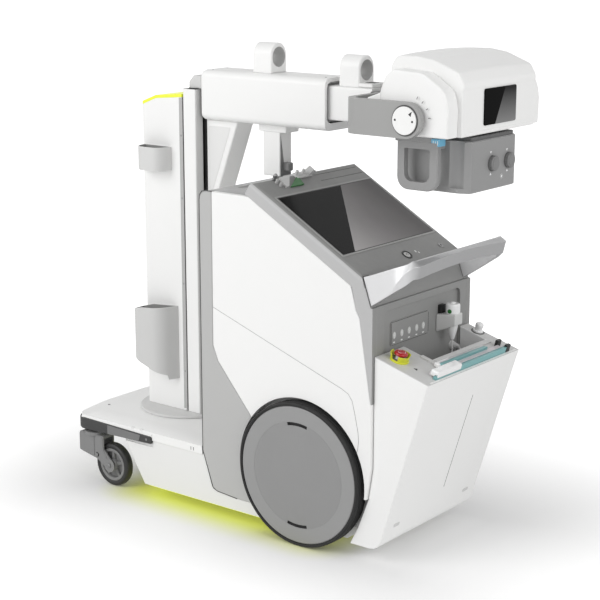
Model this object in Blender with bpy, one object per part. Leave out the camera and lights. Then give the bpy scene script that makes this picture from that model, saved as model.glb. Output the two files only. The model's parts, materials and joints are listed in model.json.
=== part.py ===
"""Portable x-ray machine: a battery-driven ward trolley with console, detector bin and telescopic arm.

Metres, +Z up, +X towards the operator's end, origin on the floor under the middle of the machine.
Every size in the first section is a driving dimension; the rest is worked out from these.
"""

import math

import bmesh
import bpy
from mathutils import Matrix, Vector

# Clearances
GAP = 0.0003          # between pieces that rest on each other
SLIDE = 0.0008        # round a piece that slides or turns in another
RUN = 0.0055          # between pieces that move past each other

# Drive wheels
WHEEL_RADIUS = 0.2275
WHEEL_WIDTH = 0.050
TYRE_DEPTH = 0.011
OVERALL_WIDTH = 0.560
AXLE_X = 0.245
AXLE_RADIUS = 0.018
ARCH_CLEARANCE = 0.012
WELL_CLEARANCE = 0.008

# Body
SIDE_Y = 0.262
PANEL_THICKNESS = 0.022
BODY_FRONT_X = -0.150
BODY_REAR_X = 0.507
BODY_TOP_Z = 1.060
BODY_FLOOR_Z = 0.088
SKIRT_FLOOR_Z = 0.045
SKIRT_TOP_Z = 0.2057
SKIRT_NOSE_X = -0.415
SKIRT_RAKE = 0.101
ACCENT_WIDTH = 0.050
TAIL_FOOT_Z = 0.497
REAR_PANEL_THICKNESS = 0.022

# Console
CONSOLE_BACK_X = 0.057
CONSOLE_BACK_Z = 1.107
CONSOLE_REAR_X = 0.470
CONSOLE_SLOPE = 0.572
CONSOLE_THICKNESS = 0.053
CONSOLE_ROUNDING = 0.018
REAR_FACE_LEAN = 0.341
RECESS_TOP_Z = 0.785
DISPLAY_FRONT_X = 0.139
DISPLAY_REAR_X = 0.382
DISPLAY_HALF_WIDTH = 0.235
DISPLAY_THICKNESS = 0.006

# Push handle
HANDLE_REACH = 0.143
HANDLE_TOP_Z = 0.938
HANDLE_ROOT_HIGH_Z = 0.868
HANDLE_ROOT_LOW_Z = 0.787
HANDLE_HALF_WIDTH = 0.258
HANDLE_ARM = 0.028
HANDLE_BEND = 0.065

# Detector bin
BIN_HALF_WIDTH = 0.252
BIN_TOP_Z = 0.641
BIN_LIP_X = 0.696
BIN_LIP_Z = 0.587
BIN_FOOT_X = 0.530
BIN_FLOOR_Z = 0.046
BIN_WALL = 0.009
WELL_REAR_X = 0.605
WELL_FLOOR_Z = 0.490
WELL_RIGHT_Y = -0.100
WELL_LEFT_Y = 0.205
DETECTOR_THICKNESS = 0.015
DETECTOR_CLEARANCE = 0.001
DETECTOR_PROUD = 0.018

# Hand switch
SWITCH_REACH = 0.030
SWITCH_Y = 0.118
SWITCH_RADIUS = 0.0175
CORD_RADIUS = 0.0025

# Front deck and bumper
DECK_EDGE_Z = 0.230
DECK_TOP_Z = 0.252
NOSE_X = -0.754
NOSE_CORNER_X = -0.726
BUMPER_Y = 0.268
BUMPER_THICKNESS = 0.014
BUMPER_REAR_X = -0.374
BUMPER_LOW_Z = 0.182
BUMPER_HIGH_Z = 0.226
PAD_INSET = 0.060
CASTER_PAD_Z = 0.1800

# Casters
CASTER_X = -0.660
CASTER_Y = 0.234
CASTER_RADIUS = 0.075
CASTER_WIDTH = 0.032
CASTER_TRAIL = 0.085
CASTER_PIN_RADIUS = 0.007
CHEEK = 0.006

# Column
COLUMN_X = -0.445
TURNTABLE_RADIUS = 0.165
TURNTABLE_TOP_Z = 0.262
COLUMN_Y = 0.080
COVER_REAR_X = -0.382
COVER_DEPTH = 0.183
COVER_DROP = 0.019
LIGHT_THICKNESS = 0.010
CHANNEL_FRONT_X = -0.376
CHANNEL_REAR_X = -0.321
CHANNEL_RISE = 0.011
CHANNEL_FLOOR_Z = 0.300
CHANNEL_SLOT_HALF = 0.047
CUP_INSET = 0.018
CUP_DEPTH = 0.058
CUP_FLOOR_Z = 1.073
CUP_TOP_Z = 1.150
POCKET_DEPTH = 0.068
POCKET_FLOOR_Z = 0.370
POCKET_TOP_Z = 0.630
POCKET_WALL = 0.004

# Arm
ARM_Z = 1.331
SLEEVE_FRONT_X = -0.310
SLEEVE_REAR_X = 0.188
SLEEVE_HALF_WIDTH = 0.070
SLEEVE_DROP = 0.085
SLEEVE_RISE = 0.074
ARM_HALF_WIDTH = 0.050
ARM_HALF_HEIGHT = 0.052
ARM_FRONT_X = -0.283
ARM_REAR_X = 0.345
FLANGE_RADIUS = 0.045
FLANGE_LENGTH = 0.030
GUSSET_REACH = 0.132
GUSSET_HEIGHT = 0.326
GUSSET_LEAN = 0.372
GUSSET_HALF_WIDTH = 0.042
POST_FRONT_X = -0.086
POST_REAR_X = -0.018
POST_HALF_WIDTH = 0.030
POST_HEIGHT = 0.161
LOOP_HALF_WIDTH = 0.038
LOOP_HOLE_RADIUS = 0.031
LOOP_LENGTH = 0.075
LOOP_RISE = 0.0545

# Fork and tube head
FORK_BACK_X = 0.399
FORK_WEB = 0.020
FORK_PLATE = 0.021
FORK_OUTER_Y = 0.2735
FORK_HALF_HEIGHT = 0.050
PIVOT_X = 0.616
PIN_RADIUS = 0.020
PIN_DISC_RADIUS = 0.039
PIN_DISC_WIDTH = 0.0057
HEAD_HALF_WIDTH = 0.195
HEAD_REAR_X = 0.750
HEAD_BACK_X = 0.466
HEAD_RISE = 0.175
HEAD_DROP = 0.045
HEAD_CROWN = 0.0065
CAP_SINK = 0.040
CAP_INSET = 0.012
SHOULDER_SHARE = 0.446
SCREEN_HALF_WIDTH = 0.085
SCREEN_SINK = 0.095
SCREEN_LIFT = 0.023
SCREEN_THICKNESS = 0.0035

# Collimator
COLLIMATOR_HEIGHT = 0.146
COLLIMATOR_HALF_WIDTH = 0.118
COLLIMATOR_REAR_X = 0.737
COLLIMATOR_FRONT_X = 0.505
RING_RADIUS = 0.075
RING_HEIGHT = 0.020
GRIP_Y = 0.170
GRIP_BAR = 0.020
GRIP_FRONT_X = 0.527
GRIP_REAR_X = 0.663
GRIP_ARM = 0.025
GRIP_BEND = 0.036
FLANGE_RISE = 0.0135
KNOB_RADIUS = 0.021
KNOB_LENGTH = 0.0125

HANDLE_REACH_X = BODY_REAR_X + HANDLE_REACH
COVER_FRONT_X = COVER_REAR_X - COVER_DEPTH
COVER_TOP_Z = ARM_Z - COVER_DROP
CHANNEL_TOP_Z = ARM_Z + CHANNEL_RISE
SLEEVE_LOW_Z = ARM_Z - SLEEVE_DROP
SLEEVE_HIGH_Z = ARM_Z + SLEEVE_RISE
GUSSET_FOOT_Z = SLEEVE_LOW_Z - GUSSET_HEIGHT
CHANNEL_SLOT_Z = GUSSET_FOOT_Z - 0.060
POST_FOOT_Z = SLEEVE_LOW_Z - POST_HEIGHT
HEAD_TOP_Z = ARM_Z + HEAD_RISE
HEAD_FLOOR_Z = ARM_Z - HEAD_DROP
HEAD_SHOULDER_Z = HEAD_FLOOR_Z + SHOULDER_SHARE * (HEAD_TOP_Z - HEAD_FLOOR_Z)
SCREEN_HIGH_Z = HEAD_TOP_Z - SCREEN_SINK
SCREEN_LOW_Z = HEAD_FLOOR_Z + SCREEN_LIFT
COLLIMATOR_TOP_Z = HEAD_FLOOR_Z - RING_HEIGHT
COLLIMATOR_FLOOR_Z = COLLIMATOR_TOP_Z - COLLIMATOR_HEIGHT
CORE_Y = SIDE_Y - PANEL_THICKNESS - GAP
WHEEL_OUTER_Y = OVERALL_WIDTH / 2
WHEEL_INNER_Y = WHEEL_OUTER_Y - WHEEL_WIDTH
DISC_RADIUS = WHEEL_RADIUS - TYRE_DEPTH
WELL_Y = WHEEL_INNER_Y - WELL_CLEARANCE
ARCH_RADIUS = WHEEL_RADIUS + ARCH_CLEARANCE
SIDES = (("left", 1), ("right", -1))


def clear_objects():
    """Remove whatever the scene holds."""
    for item in list(bpy.data.objects):
        bpy.data.objects.remove(item, do_unlink=True)


def finish(name, colour, roughness, metallic=0.0):
    """A Principled material of one colour (linear RGB)."""
    material = bpy.data.materials.new(name)
    material.use_nodes = True
    shader = material.node_tree.nodes["Principled BSDF"]
    shader.inputs["Base Color"].default_value = (*colour, 1.0)
    shader.inputs["Roughness"].default_value = roughness
    shader.inputs["Metallic"].default_value = metallic
    return material


def hang(item, parent):
    """Hang an object on a pivot without moving it."""
    item.parent = parent
    item.matrix_parent_inverse = Matrix.Translation(parent.location).inverted()


def pivot(name, place, parent=None):
    """An empty on a joint's axis, which carries the pieces that move with the joint."""
    empty = bpy.data.objects.new(name, None)
    empty.location = place
    bpy.context.collection.objects.link(empty)
    if parent:
        hang(empty, parent)
    return empty


def piece(name, shape, material, parent=None):
    """Turn a bmesh in world metres into a named object, carried by its pivot."""
    mesh = bpy.data.meshes.new(name)
    bmesh.ops.recalc_face_normals(shape, faces=shape.faces)
    shape.to_mesh(mesh)
    shape.free()
    if material:
        mesh.materials.append(material)
    made = bpy.data.objects.new(name, mesh)
    bpy.context.collection.objects.link(made)
    if parent:
        hang(made, parent)
    return made


def guide(name, shape):
    """A shape that only cuts or joins another piece."""
    made = piece(name, shape, None)
    made.hide_render = True
    made.display_type = "WIRE"
    return made


def combine(target, operation, name, shape):
    """Cut a guide out of a piece, or join it to the piece."""
    modifier = target.modifiers.new(name, "BOOLEAN")
    modifier.operation = operation
    modifier.solver = "EXACT"
    modifier.object = guide(f"{target.name}_{name}", shape)


def cut(target, name, shape):
    combine(target, "DIFFERENCE", name, shape)


def join(target, name, shape):
    combine(target, "UNION", name, shape)


def smooth(made, angle=35):
    """Shade the round faces smooth and keep the real edges sharp."""
    made.data.shade_smooth()
    made.data.set_sharp_from_angle(angle=math.radians(angle))
    return made


def rounded(corners, step=22.5):
    """An outline whose corners (u, v, radius) are rounded by arcs; a corner without a radius stays sharp."""
    outline = []
    count = len(corners)
    for index, corner in enumerate(corners):
        here = Vector(corner[:2])
        radius = corner[2] if len(corner) > 2 else 0.0
        before = (Vector(corners[index - 1][:2]) - here).normalized()
        after = (Vector(corners[(index + 1) % count][:2]) - here).normalized()
        opening = before.angle(after)
        if radius == 0.0 or opening > math.pi - 0.01:
            outline.append(here)
            continue
        back = radius / math.tan(opening / 2)
        centre = here + (before + after).normalized() * radius / math.sin(opening / 2)
        start = here + before * back - centre
        end = here + after * back - centre
        steps = max(2, round(math.degrees(math.pi - opening) / step))
        turn = start.angle_signed(end)
        for number in range(steps + 1):
            angle = -turn * number / steps
            spun = Vector((start.x * math.cos(angle) - start.y * math.sin(angle),
                           start.x * math.sin(angle) + start.y * math.cos(angle)))
            outline.append(centre + spun)
    return outline


def prism(outline, axis, low, high, edge=0.0, steps=2):
    """Extrude an outline along an axis. X takes (y, z), Y takes (x, z), Z takes (x, y)."""
    order = {"X": (2, 0, 1), "Y": (0, 2, 1), "Z": (0, 1, 2)}[axis]
    shape = bmesh.new()
    corners = []
    for u, v in outline:
        flat = (u, v, low)
        corners.append(shape.verts.new([flat[place] for place in order]))
    face = shape.faces.new(corners)
    along = Vector([1.0 if name == axis else 0.0 for name in "XYZ"])
    grown = bmesh.ops.extrude_face_region(shape, geom=[face])
    top = [item for item in grown["geom"] if isinstance(item, bmesh.types.BMVert)]
    bmesh.ops.translate(shape, verts=top, vec=along * (high - low))
    bmesh.ops.recalc_face_normals(shape, faces=shape.faces)
    if edge:
        rims = [rim for rim in shape.edges if abs((rim.verts[0].co - rim.verts[1].co).dot(along)) < 1e-7]
        soften(shape, rims, edge, steps)
    return shape


def soften(shape, edges, width, steps=2):
    """Round edges by a bevel."""
    bmesh.ops.bevel(shape, geom=edges, offset=width, segments=steps, profile=0.5, affect="EDGES",
                    clamp_overlap=True, material=-1)


def block(low, high, edge=0.0, steps=2):
    """A box between two corners, with rounded edges."""
    shape = bmesh.new()
    middle = [(a + b) / 2 for a, b in zip(low, high)]
    size = [b - a for a, b in zip(low, high)]
    place = Matrix.Translation(middle) @ Matrix.Diagonal((*size, 1.0))
    bmesh.ops.create_cube(shape, size=1.0, matrix=place)
    if edge:
        soften(shape, shape.edges[:], edge, steps)
    return shape


def turned(profile, centre, axis, segments=48):
    """Spin a closed profile of (radius, place along the axis) round an axis through a centre."""
    shape = bmesh.new()
    points = []
    for radius, along in profile:
        points.append(shape.verts.new((radius, 0.0, along)))
    rims = []
    for number, point in enumerate(points):
        rims.append(shape.edges.new((point, points[(number + 1) % len(points)])))
    bmesh.ops.spin(shape, geom=points + rims, cent=(0, 0, 0), axis=(0, 0, 1), angle=math.tau,
                   steps=segments, use_merge=True)
    bmesh.ops.remove_doubles(shape, verts=shape.verts, dist=1e-6)
    loose = [rim for rim in shape.edges if not rim.link_faces]
    bmesh.ops.delete(shape, geom=loose, context="EDGES")
    bmesh.ops.recalc_face_normals(shape, faces=shape.faces)
    quarter = {"X": Matrix.Rotation(math.pi / 2, 4, "Y"), "Y": Matrix.Rotation(-math.pi / 2, 4, "X"),
               "Z": Matrix.Identity(4)}[axis]
    bmesh.ops.transform(shape, matrix=Matrix.Translation(centre) @ quarter, verts=shape.verts)
    return shape


def drum(centre, axis, radius, low, high, segments=48):
    """A plain cylinder from low to high along an axis through a centre."""
    shape = bmesh.new()
    quarter = {"X": Matrix.Rotation(math.pi / 2, 4, "Y"), "Y": Matrix.Rotation(-math.pi / 2, 4, "X"),
               "Z": Matrix.Identity(4)}[axis]
    middle = Matrix.Translation((0, 0, (low + high) / 2))
    bmesh.ops.create_cone(shape, cap_ends=True, segments=segments, radius1=radius, radius2=radius,
                          depth=high - low, matrix=Matrix.Translation(centre) @ quarter @ middle)
    return shape


def mirrored(low, high, side):
    """The span from low to high on the left side, or its mirror on the right side."""
    return (low, high) if side > 0 else (-high, -low)


def console_z(x):
    """Height of the console's sloping top."""
    return CONSOLE_BACK_Z - CONSOLE_SLOPE * (x - CONSOLE_BACK_X)


def bin_top_z(x):
    """Height of the bin's sloping rim."""
    return BIN_TOP_Z - (BIN_TOP_Z - BIN_LIP_Z) * (x - BODY_REAR_X) / (BIN_LIP_X - BODY_REAR_X)


def bin_rear_x(z):
    """The bin's leaning outer wall."""
    return BIN_FOOT_X + (BIN_LIP_X - BIN_FOOT_X) * (z - BIN_FLOOR_Z) / (BIN_LIP_Z - BIN_FLOOR_Z)


def rear_face_x(z):
    """The console's leaning end face, where the push handle is rooted."""
    return CONSOLE_REAR_X + REAR_FACE_LEAN * (console_z(CONSOLE_REAR_X) - z)


def arch_cutter(side):
    """The round space for a drive wheel."""
    low, high = mirrored(WELL_Y, WHEEL_OUTER_Y + WHEEL_WIDTH, side)
    return drum((AXLE_X, 0, WHEEL_RADIUS), "Y", ARCH_RADIUS, low, high, 72)


def lower_line(drop):
    """The body's lower front edge, from the wheel to the front wall."""
    return [(AXLE_X - ARCH_RADIUS - 0.0015, BODY_FLOOR_Z - drop),
            (BODY_FRONT_X + 0.058, BODY_FLOOR_Z + 0.008 - drop),
            (BODY_FRONT_X + 0.041 - drop, BODY_FLOOR_Z + 0.017 - drop)]


def rear_line(back):
    """The parting line between the body's sides and the bin, from the foot upwards."""
    return [(BODY_REAR_X - 0.067 - back, BODY_FLOOR_Z), (BODY_REAR_X - 0.055 - back, BODY_FLOOR_Z + 0.012),
            (BODY_REAR_X - 0.016 - back, BODY_FLOOR_Z + 0.112), (BODY_REAR_X - back, BODY_FLOOR_Z + 0.212)]


def nose(inset, rear):
    """The plan of the front deck's nose, from the right side round to the left."""
    half = BUMPER_Y - inset
    corner = NOSE_CORNER_X + inset
    front = NOSE_X + inset
    radius = 0.055 - min(inset, 0.030)
    return [(rear, -half), (corner, -half, radius), (front, -0.10, 0.12), (front, 0.10, 0.12),
            (corner, half, radius), (rear, half)]


def side_panels(paint):
    """The grey front and white rear panels on each side of the body."""
    seam = [(BODY_FRONT_X + ACCENT_WIDTH - 0.0005, BODY_TOP_Z), (BODY_FRONT_X + 0.0485, 0.576),
            (BODY_FRONT_X + 0.0685, 0.528), (AXLE_X - 0.2015, 0.382), (AXLE_X - 0.145, 0.300)]
    front = [(BODY_FRONT_X, 0.222), (BODY_FRONT_X, BODY_TOP_Z, 0.028)] + seam
    front += [(AXLE_X - 0.145, BODY_FLOOR_Z)] + lower_line(0)
    back = [(x + SLIDE, z) for x, z in reversed(seam)]
    under = CONSOLE_BACK_Z - CONSOLE_THICKNESS - SLIDE
    start = CONSOLE_BACK_X - (BODY_TOP_Z - under) / CONSOLE_SLOPE
    heel = [(x - SLIDE, z - SLIDE) for x, z in tail_line()]
    back.append((start, BODY_TOP_Z))
    back.append((heel[0][0], under - CONSOLE_SLOPE * (heel[0][0] - CONSOLE_BACK_X)))
    back += heel[1:] + [(BODY_REAR_X - SLIDE, TAIL_FOOT_Z - SLIDE)]
    back += [(x - SLIDE, z) for x, z in reversed(rear_line(0)[2:])]
    back += [(AXLE_X + 0.180, rear_line(0)[2][1])]
    table = (
        # name, outline, material
        ("side_accent", front, paint["grey"]),
        ("side_panel", back, paint["white"]),
    )
    for name, outline, material in table:
        for side, sign in SIDES:
            low, high = mirrored(SIDE_Y - PANEL_THICKNESS, SIDE_Y, sign)
            shape = prism(rounded(outline), "Y", low, high, 0.002, 1)
            made = piece(f"{name}_{side}", shape, material)
            cut(made, "arch", arch_cutter(sign))


def tail_line():
    """The console's side cheeks where they meet the white panels, from the top down."""
    return [(0.430, console_z(0.430) - CONSOLE_THICKNESS), (0.4495, 0.772), (0.4625, 0.749),
            (0.5040, TAIL_FOOT_Z)]


def body_core(paint):
    """The chassis and cabinet between the panels, and the skirt under it."""
    under = CONSOLE_BACK_Z - CONSOLE_THICKNESS - SLIDE
    start = CONSOLE_BACK_X - (BODY_TOP_Z - under) / CONSOLE_SLOPE
    heel = console_heel()
    outline = [(BODY_FRONT_X, 0.222), (BODY_FRONT_X, BODY_TOP_Z, 0.028), (start, BODY_TOP_Z),
               (heel[0][0] - SLIDE, heel[0][1] - SLIDE), (heel[1][0] - SLIDE, heel[1][1] - SLIDE),
               (BODY_REAR_X - REAR_PANEL_THICKNESS - GAP, RECESS_TOP_Z - SLIDE),
               (BODY_REAR_X - REAR_PANEL_THICKNESS - GAP, TAIL_FOOT_Z + SLIDE),
               (BODY_REAR_X, TAIL_FOOT_Z + SLIDE)]
    outline += list(reversed(rear_line(0))) + lower_line(0)
    core = piece("body_core", prism(rounded(outline), "Y", -CORE_Y, CORE_Y), paint["light"])
    for side, sign in SIDES:
        cut(core, f"arch_{side}", arch_cutter(sign))
        low, high = mirrored(WELL_Y, SIDE_Y, sign)
        cut(core, f"heel_{side}", block((AXLE_X, low, 0.0), (BODY_REAR_X + 0.02, high, rear_line(0)[2][1])))
    cut(core, "axle_bore", drum((AXLE_X, 0, WHEEL_RADIUS), "Y", AXLE_RADIUS + GAP, -SIDE_Y, SIDE_Y, 40))
    cut(core, "tray", block((BODY_FRONT_X + 0.055, -0.150, BODY_TOP_Z - 0.006),
                            (BODY_FRONT_X + 0.150, 0.150, BODY_TOP_Z + 0.02)))
    cut(core, "cord_gland", drum((0, 0.174, 0.585), "X", 0.0105, 0.470, 0.52, 24))
    tip = WHEEL_OUTER_Y - 0.012
    axle = drum((AXLE_X, 0, WHEEL_RADIUS), "Y", AXLE_RADIUS, -tip, tip, 40)
    smooth(piece("drive_axle", axle, paint["steel"]))
    drop = SLIDE
    nose_foot = SKIRT_NOSE_X - SKIRT_RAKE
    skirt = [(nose_foot, SKIRT_TOP_Z), (SKIRT_NOSE_X, SKIRT_FLOOR_Z), (AXLE_X + 0.150, SKIRT_FLOOR_Z),
             (AXLE_X + 0.150, BODY_FLOOR_Z - drop)] + lower_line(drop)
    skirt += [(BODY_FRONT_X + 0.0045, SKIRT_TOP_Z)]
    base = piece("base_skirt", prism(skirt, "Y", -SIDE_Y + 0.004, SIDE_Y - 0.004, 0.004), paint["light"])
    for side, sign in SIDES:
        cut(base, f"arch_{side}", arch_cutter(sign))
        low, high = mirrored(WELL_Y, SIDE_Y, sign)
        cut(base, f"heel_{side}", block((AXLE_X, low, 0.0), (AXLE_X + 0.16, high, BODY_FLOOR_Z)))
        low, high = mirrored(BUMPER_Y - BUMPER_THICKNESS - SLIDE, BUMPER_Y, sign)
        cut(base, f"bumper_{side}", block((SKIRT_NOSE_X - 0.2, low, BUMPER_LOW_Z - SLIDE),
                                          (BUMPER_REAR_X + SLIDE, high, SKIRT_TOP_Z + 0.01)))
    span = 0.246
    strip = [(SKIRT_NOSE_X + 0.49, -span), (SKIRT_NOSE_X + 0.010, -span), (SKIRT_NOSE_X + 0.010, span),
             (SKIRT_NOSE_X + 0.49, span), (SKIRT_NOSE_X + 0.49, span - 0.010),
             (SKIRT_NOSE_X + 0.020, span - 0.010), (SKIRT_NOSE_X + 0.020, -span + 0.010),
             (SKIRT_NOSE_X + 0.49, -span + 0.010)]
    piece("under_light", prism(strip, "Z", SKIRT_FLOOR_Z - 0.005, SKIRT_FLOOR_Z - GAP), paint["glow"])


def console_heel():
    """The console's lower rear corner, from its underside to the recess."""
    return [(0.447, console_z(0.447) - CONSOLE_THICKNESS), (0.478, RECESS_TOP_Z)]


def on_slope(shape, corner, slope):
    """Lay a shape built flat at the origin on a sloping plane that falls towards +X."""
    tilt = Matrix.Rotation(math.atan(slope), 4, "Y")
    bmesh.ops.transform(shape, matrix=Matrix.Translation(corner) @ tilt, verts=shape.verts)
    return shape


def console(paint):
    """The sloping console with its cheeks, its screen and the push handle."""
    corner = (CONSOLE_BACK_X, 0, CONSOLE_BACK_Z)
    tilt = math.atan(CONSOLE_SLOPE)
    drop = CONSOLE_THICKNESS * math.cos(tilt)
    outline = [(CONSOLE_BACK_X - drop * math.sin(tilt), CONSOLE_BACK_Z - drop * math.cos(tilt)),
               (CONSOLE_BACK_X, CONSOLE_BACK_Z), (CONSOLE_REAR_X, console_z(CONSOLE_REAR_X)),
               (rear_face_x(RECESS_TOP_Z), RECESS_TOP_Z)] + list(reversed(console_heel()))
    shape = prism(outline, "Y", -SIDE_Y, SIDE_Y)
    top = [rim for rim in shape.edges
           if all(point.co.z > console_z(point.co.x) - 0.001 for point in rim.verts)]
    soften(shape, top, CONSOLE_ROUNDING, 4)
    frame = smooth(piece("console_frame", shape, paint["dark"]))
    line = tail_line()
    cheek = [(line[0][0], line[0][1] + 0.012)] + line[1:]
    cheek += [(BODY_REAR_X + GAP, TAIL_FOOT_Z), (BODY_REAR_X + GAP, RECESS_TOP_Z - 0.002),
              (rear_face_x(RECESS_TOP_Z), RECESS_TOP_Z), (0.480, console_z(CONSOLE_REAR_X) - 0.030)]
    for side, sign in SIDES:
        low, high = mirrored(CORE_Y + GAP, SIDE_Y, sign)
        join(frame, f"cheek_{side}", prism(cheek, "Y", low, high))
    near = (DISPLAY_FRONT_X - CONSOLE_BACK_X) / math.cos(tilt)
    far = (DISPLAY_REAR_X - CONSOLE_BACK_X) / math.cos(tilt)
    half = DISPLAY_HALF_WIDTH
    pocket = block((near - SLIDE, -half - SLIDE, -DISPLAY_THICKNESS), (far + SLIDE, half + SLIDE, 0.02))
    cut(frame, "screen_seat", on_slope(pocket, corner, CONSOLE_SLOPE))
    glass = block((near, -half, GAP - DISPLAY_THICKNESS), (far, half, GAP))
    piece("console_display", on_slope(glass, corner, CONSOLE_SLOPE), paint["glass"])
    push_handle(paint)


def push_handle(paint):
    """The bow-shaped push handle on the console's leaning end face."""
    root = rear_face_x(HANDLE_ROOT_HIGH_Z) + GAP
    reach = HANDLE_REACH_X - root
    fall = HANDLE_TOP_Z - HANDLE_ROOT_LOW_Z
    side_view = [(root, HANDLE_ROOT_HIGH_Z)]
    table = (
        # share of the reach, share of the height, corner radius
        (0.899, 1.000, 0.020),
        (1.000, 0.874, 0.014),
        (0.978, 0.682, 0.014),
        (0.888, 0.570, 0.030),
        (0.603, 0.410, 0),
        (0.295, 0.200, 0),
    )
    for along, up, radius in table:
        side_view.append((root + along * reach, HANDLE_ROOT_LOW_Z + up * fall, radius))
    side_view.append((rear_face_x(HANDLE_ROOT_LOW_Z) + GAP, HANDLE_ROOT_LOW_Z))
    half = HANDLE_HALF_WIDTH
    inside = half - HANDLE_ARM
    back = rear_face_x(HANDLE_TOP_Z) - 0.03
    grip = root + 0.720 * reach
    plan = [(back, -half), (HANDLE_REACH_X, -half, HANDLE_BEND), (HANDLE_REACH_X, half, HANDLE_BEND),
            (back, half), (back, inside), (grip, inside, HANDLE_BEND - 0.030),
            (grip, -inside, HANDLE_BEND - 0.030), (back, -inside)]
    handle = piece("push_handle", prism(rounded(side_view), "Y", -half - 0.04, half + 0.04), paint["silver"])
    bow = prism(rounded(plan, 11.25), "Z", HANDLE_ROOT_LOW_Z - 0.05, HANDLE_TOP_Z + 0.05)
    combine(handle, "INTERSECT", "plan", bow)
    smooth(handle)


def rear_panel(paint):
    """The recessed panel between console and bin, with its indicator plate and hand-switch holder."""
    face = BODY_REAR_X
    recess = 0.010
    shape = block((face - REAR_PANEL_THICKNESS, -CORE_Y, TAIL_FOOT_Z + 0.0013),
                  (face, CORE_Y, RECESS_TOP_Z - SLIDE))
    panel = piece("rear_panel", shape, paint["mid"])
    window = [(-0.205, 0.40), (0.205, 0.40), (0.205, 0.765, 0.02), (-0.205, 0.765, 0.02)]
    cut(panel, "recess", prism(rounded(window), "X", face - recess, face + 0.02))
    plate = [(-0.192, 0.650, 0.008), (0.008, 0.650, 0.008), (0.008, 0.722, 0.008), (-0.192, 0.722, 0.008)]
    join(panel, "indicator", prism(rounded(plate), "X", face - recess - 0.002, face - recess + 0.003))
    cut(panel, "gland", drum((0, 0.174, 0.585), "X", 0.0105, face - 0.03, face + 0.02, 24))
    holder = block((face - recess - 0.002, 0.085, 0.645), (face + 0.052, 0.151, 0.700), 0.005)
    join(panel, "holder", holder)
    bore = drum((face + SWITCH_REACH, SWITCH_Y, 0), "Z", SWITCH_RADIUS + GAP, 0.60, 0.74, 32)
    cut(panel, "holder_bore", bore)
    gland = turned([(0, -0.030), (0.010, -0.030), (0.010, -0.0098), (0.014, -0.0098), (0.012, -0.001),
                    (CORD_RADIUS + GAP, -0.001), (CORD_RADIUS + GAP, -0.021), (0, -0.021)],
                   (face, 0.174, 0.585), "X", 24)
    smooth(piece("cord_gland", gland, paint["black"]))
    reach = SWITCH_RADIUS
    switch = turned([(CORD_RADIUS + GAP, 0.610), (0.008, 0.610), (reach, 0.646), (reach, 0.7003),
                     (reach + 0.005, 0.7003), (reach + 0.005, 0.738), (reach, 0.744), (0, 0.746), (0, 0.622),
                     (CORD_RADIUS + GAP, 0.622)], (face + SWITCH_REACH, SWITCH_Y, 0), "Z", 32)
    smooth(piece("hand_switch", switch, paint["light"]))
    switch_cord(paint)


def switch_cord(paint):
    """The hand switch's cord: down from the switch, a hanging loop and back to the gland."""
    face = BODY_REAR_X
    ends = (Vector((face + SWITCH_REACH, SWITCH_Y, 0.6215)), Vector((face - 0.0205, 0.174, 0.585)))
    guides = [Vector((face + SWITCH_REACH, SWITCH_Y, 0.604)), Vector((face + SWITCH_REACH, SWITCH_Y, 0.520)),
              Vector((face + 0.034, 0.130, 0.470)), Vector((face + 0.050, 0.174, 0.470)),
              Vector((face + 0.060, 0.174, 0.585)), Vector((face + 0.004, 0.174, 0.585))]
    curve = bpy.data.curves.new("switch_cord", "CURVE")
    curve.dimensions = "3D"
    curve.bevel_depth = CORD_RADIUS
    curve.bevel_resolution = 2
    curve.use_fill_caps = True
    places = [ends[0]]
    count = 44
    degree = len(guides) - 1
    for number in range(count + 1):
        part = number / count
        place = Vector((0, 0, 0))
        for index, corner in enumerate(guides):
            place += corner * math.comb(degree, index) * part ** index * (1 - part) ** (degree - index)
        places.append(place)
    places.append(ends[1])
    spline = curve.splines.new("POLY")
    spline.points.add(len(places) - 1)
    for point, place in zip(spline.points, places):
        point.co = (*place, 1)
    curve.materials.append(paint["light"])
    made = bpy.data.objects.new("switch_cord", curve)
    bpy.context.collection.objects.link(made)


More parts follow.
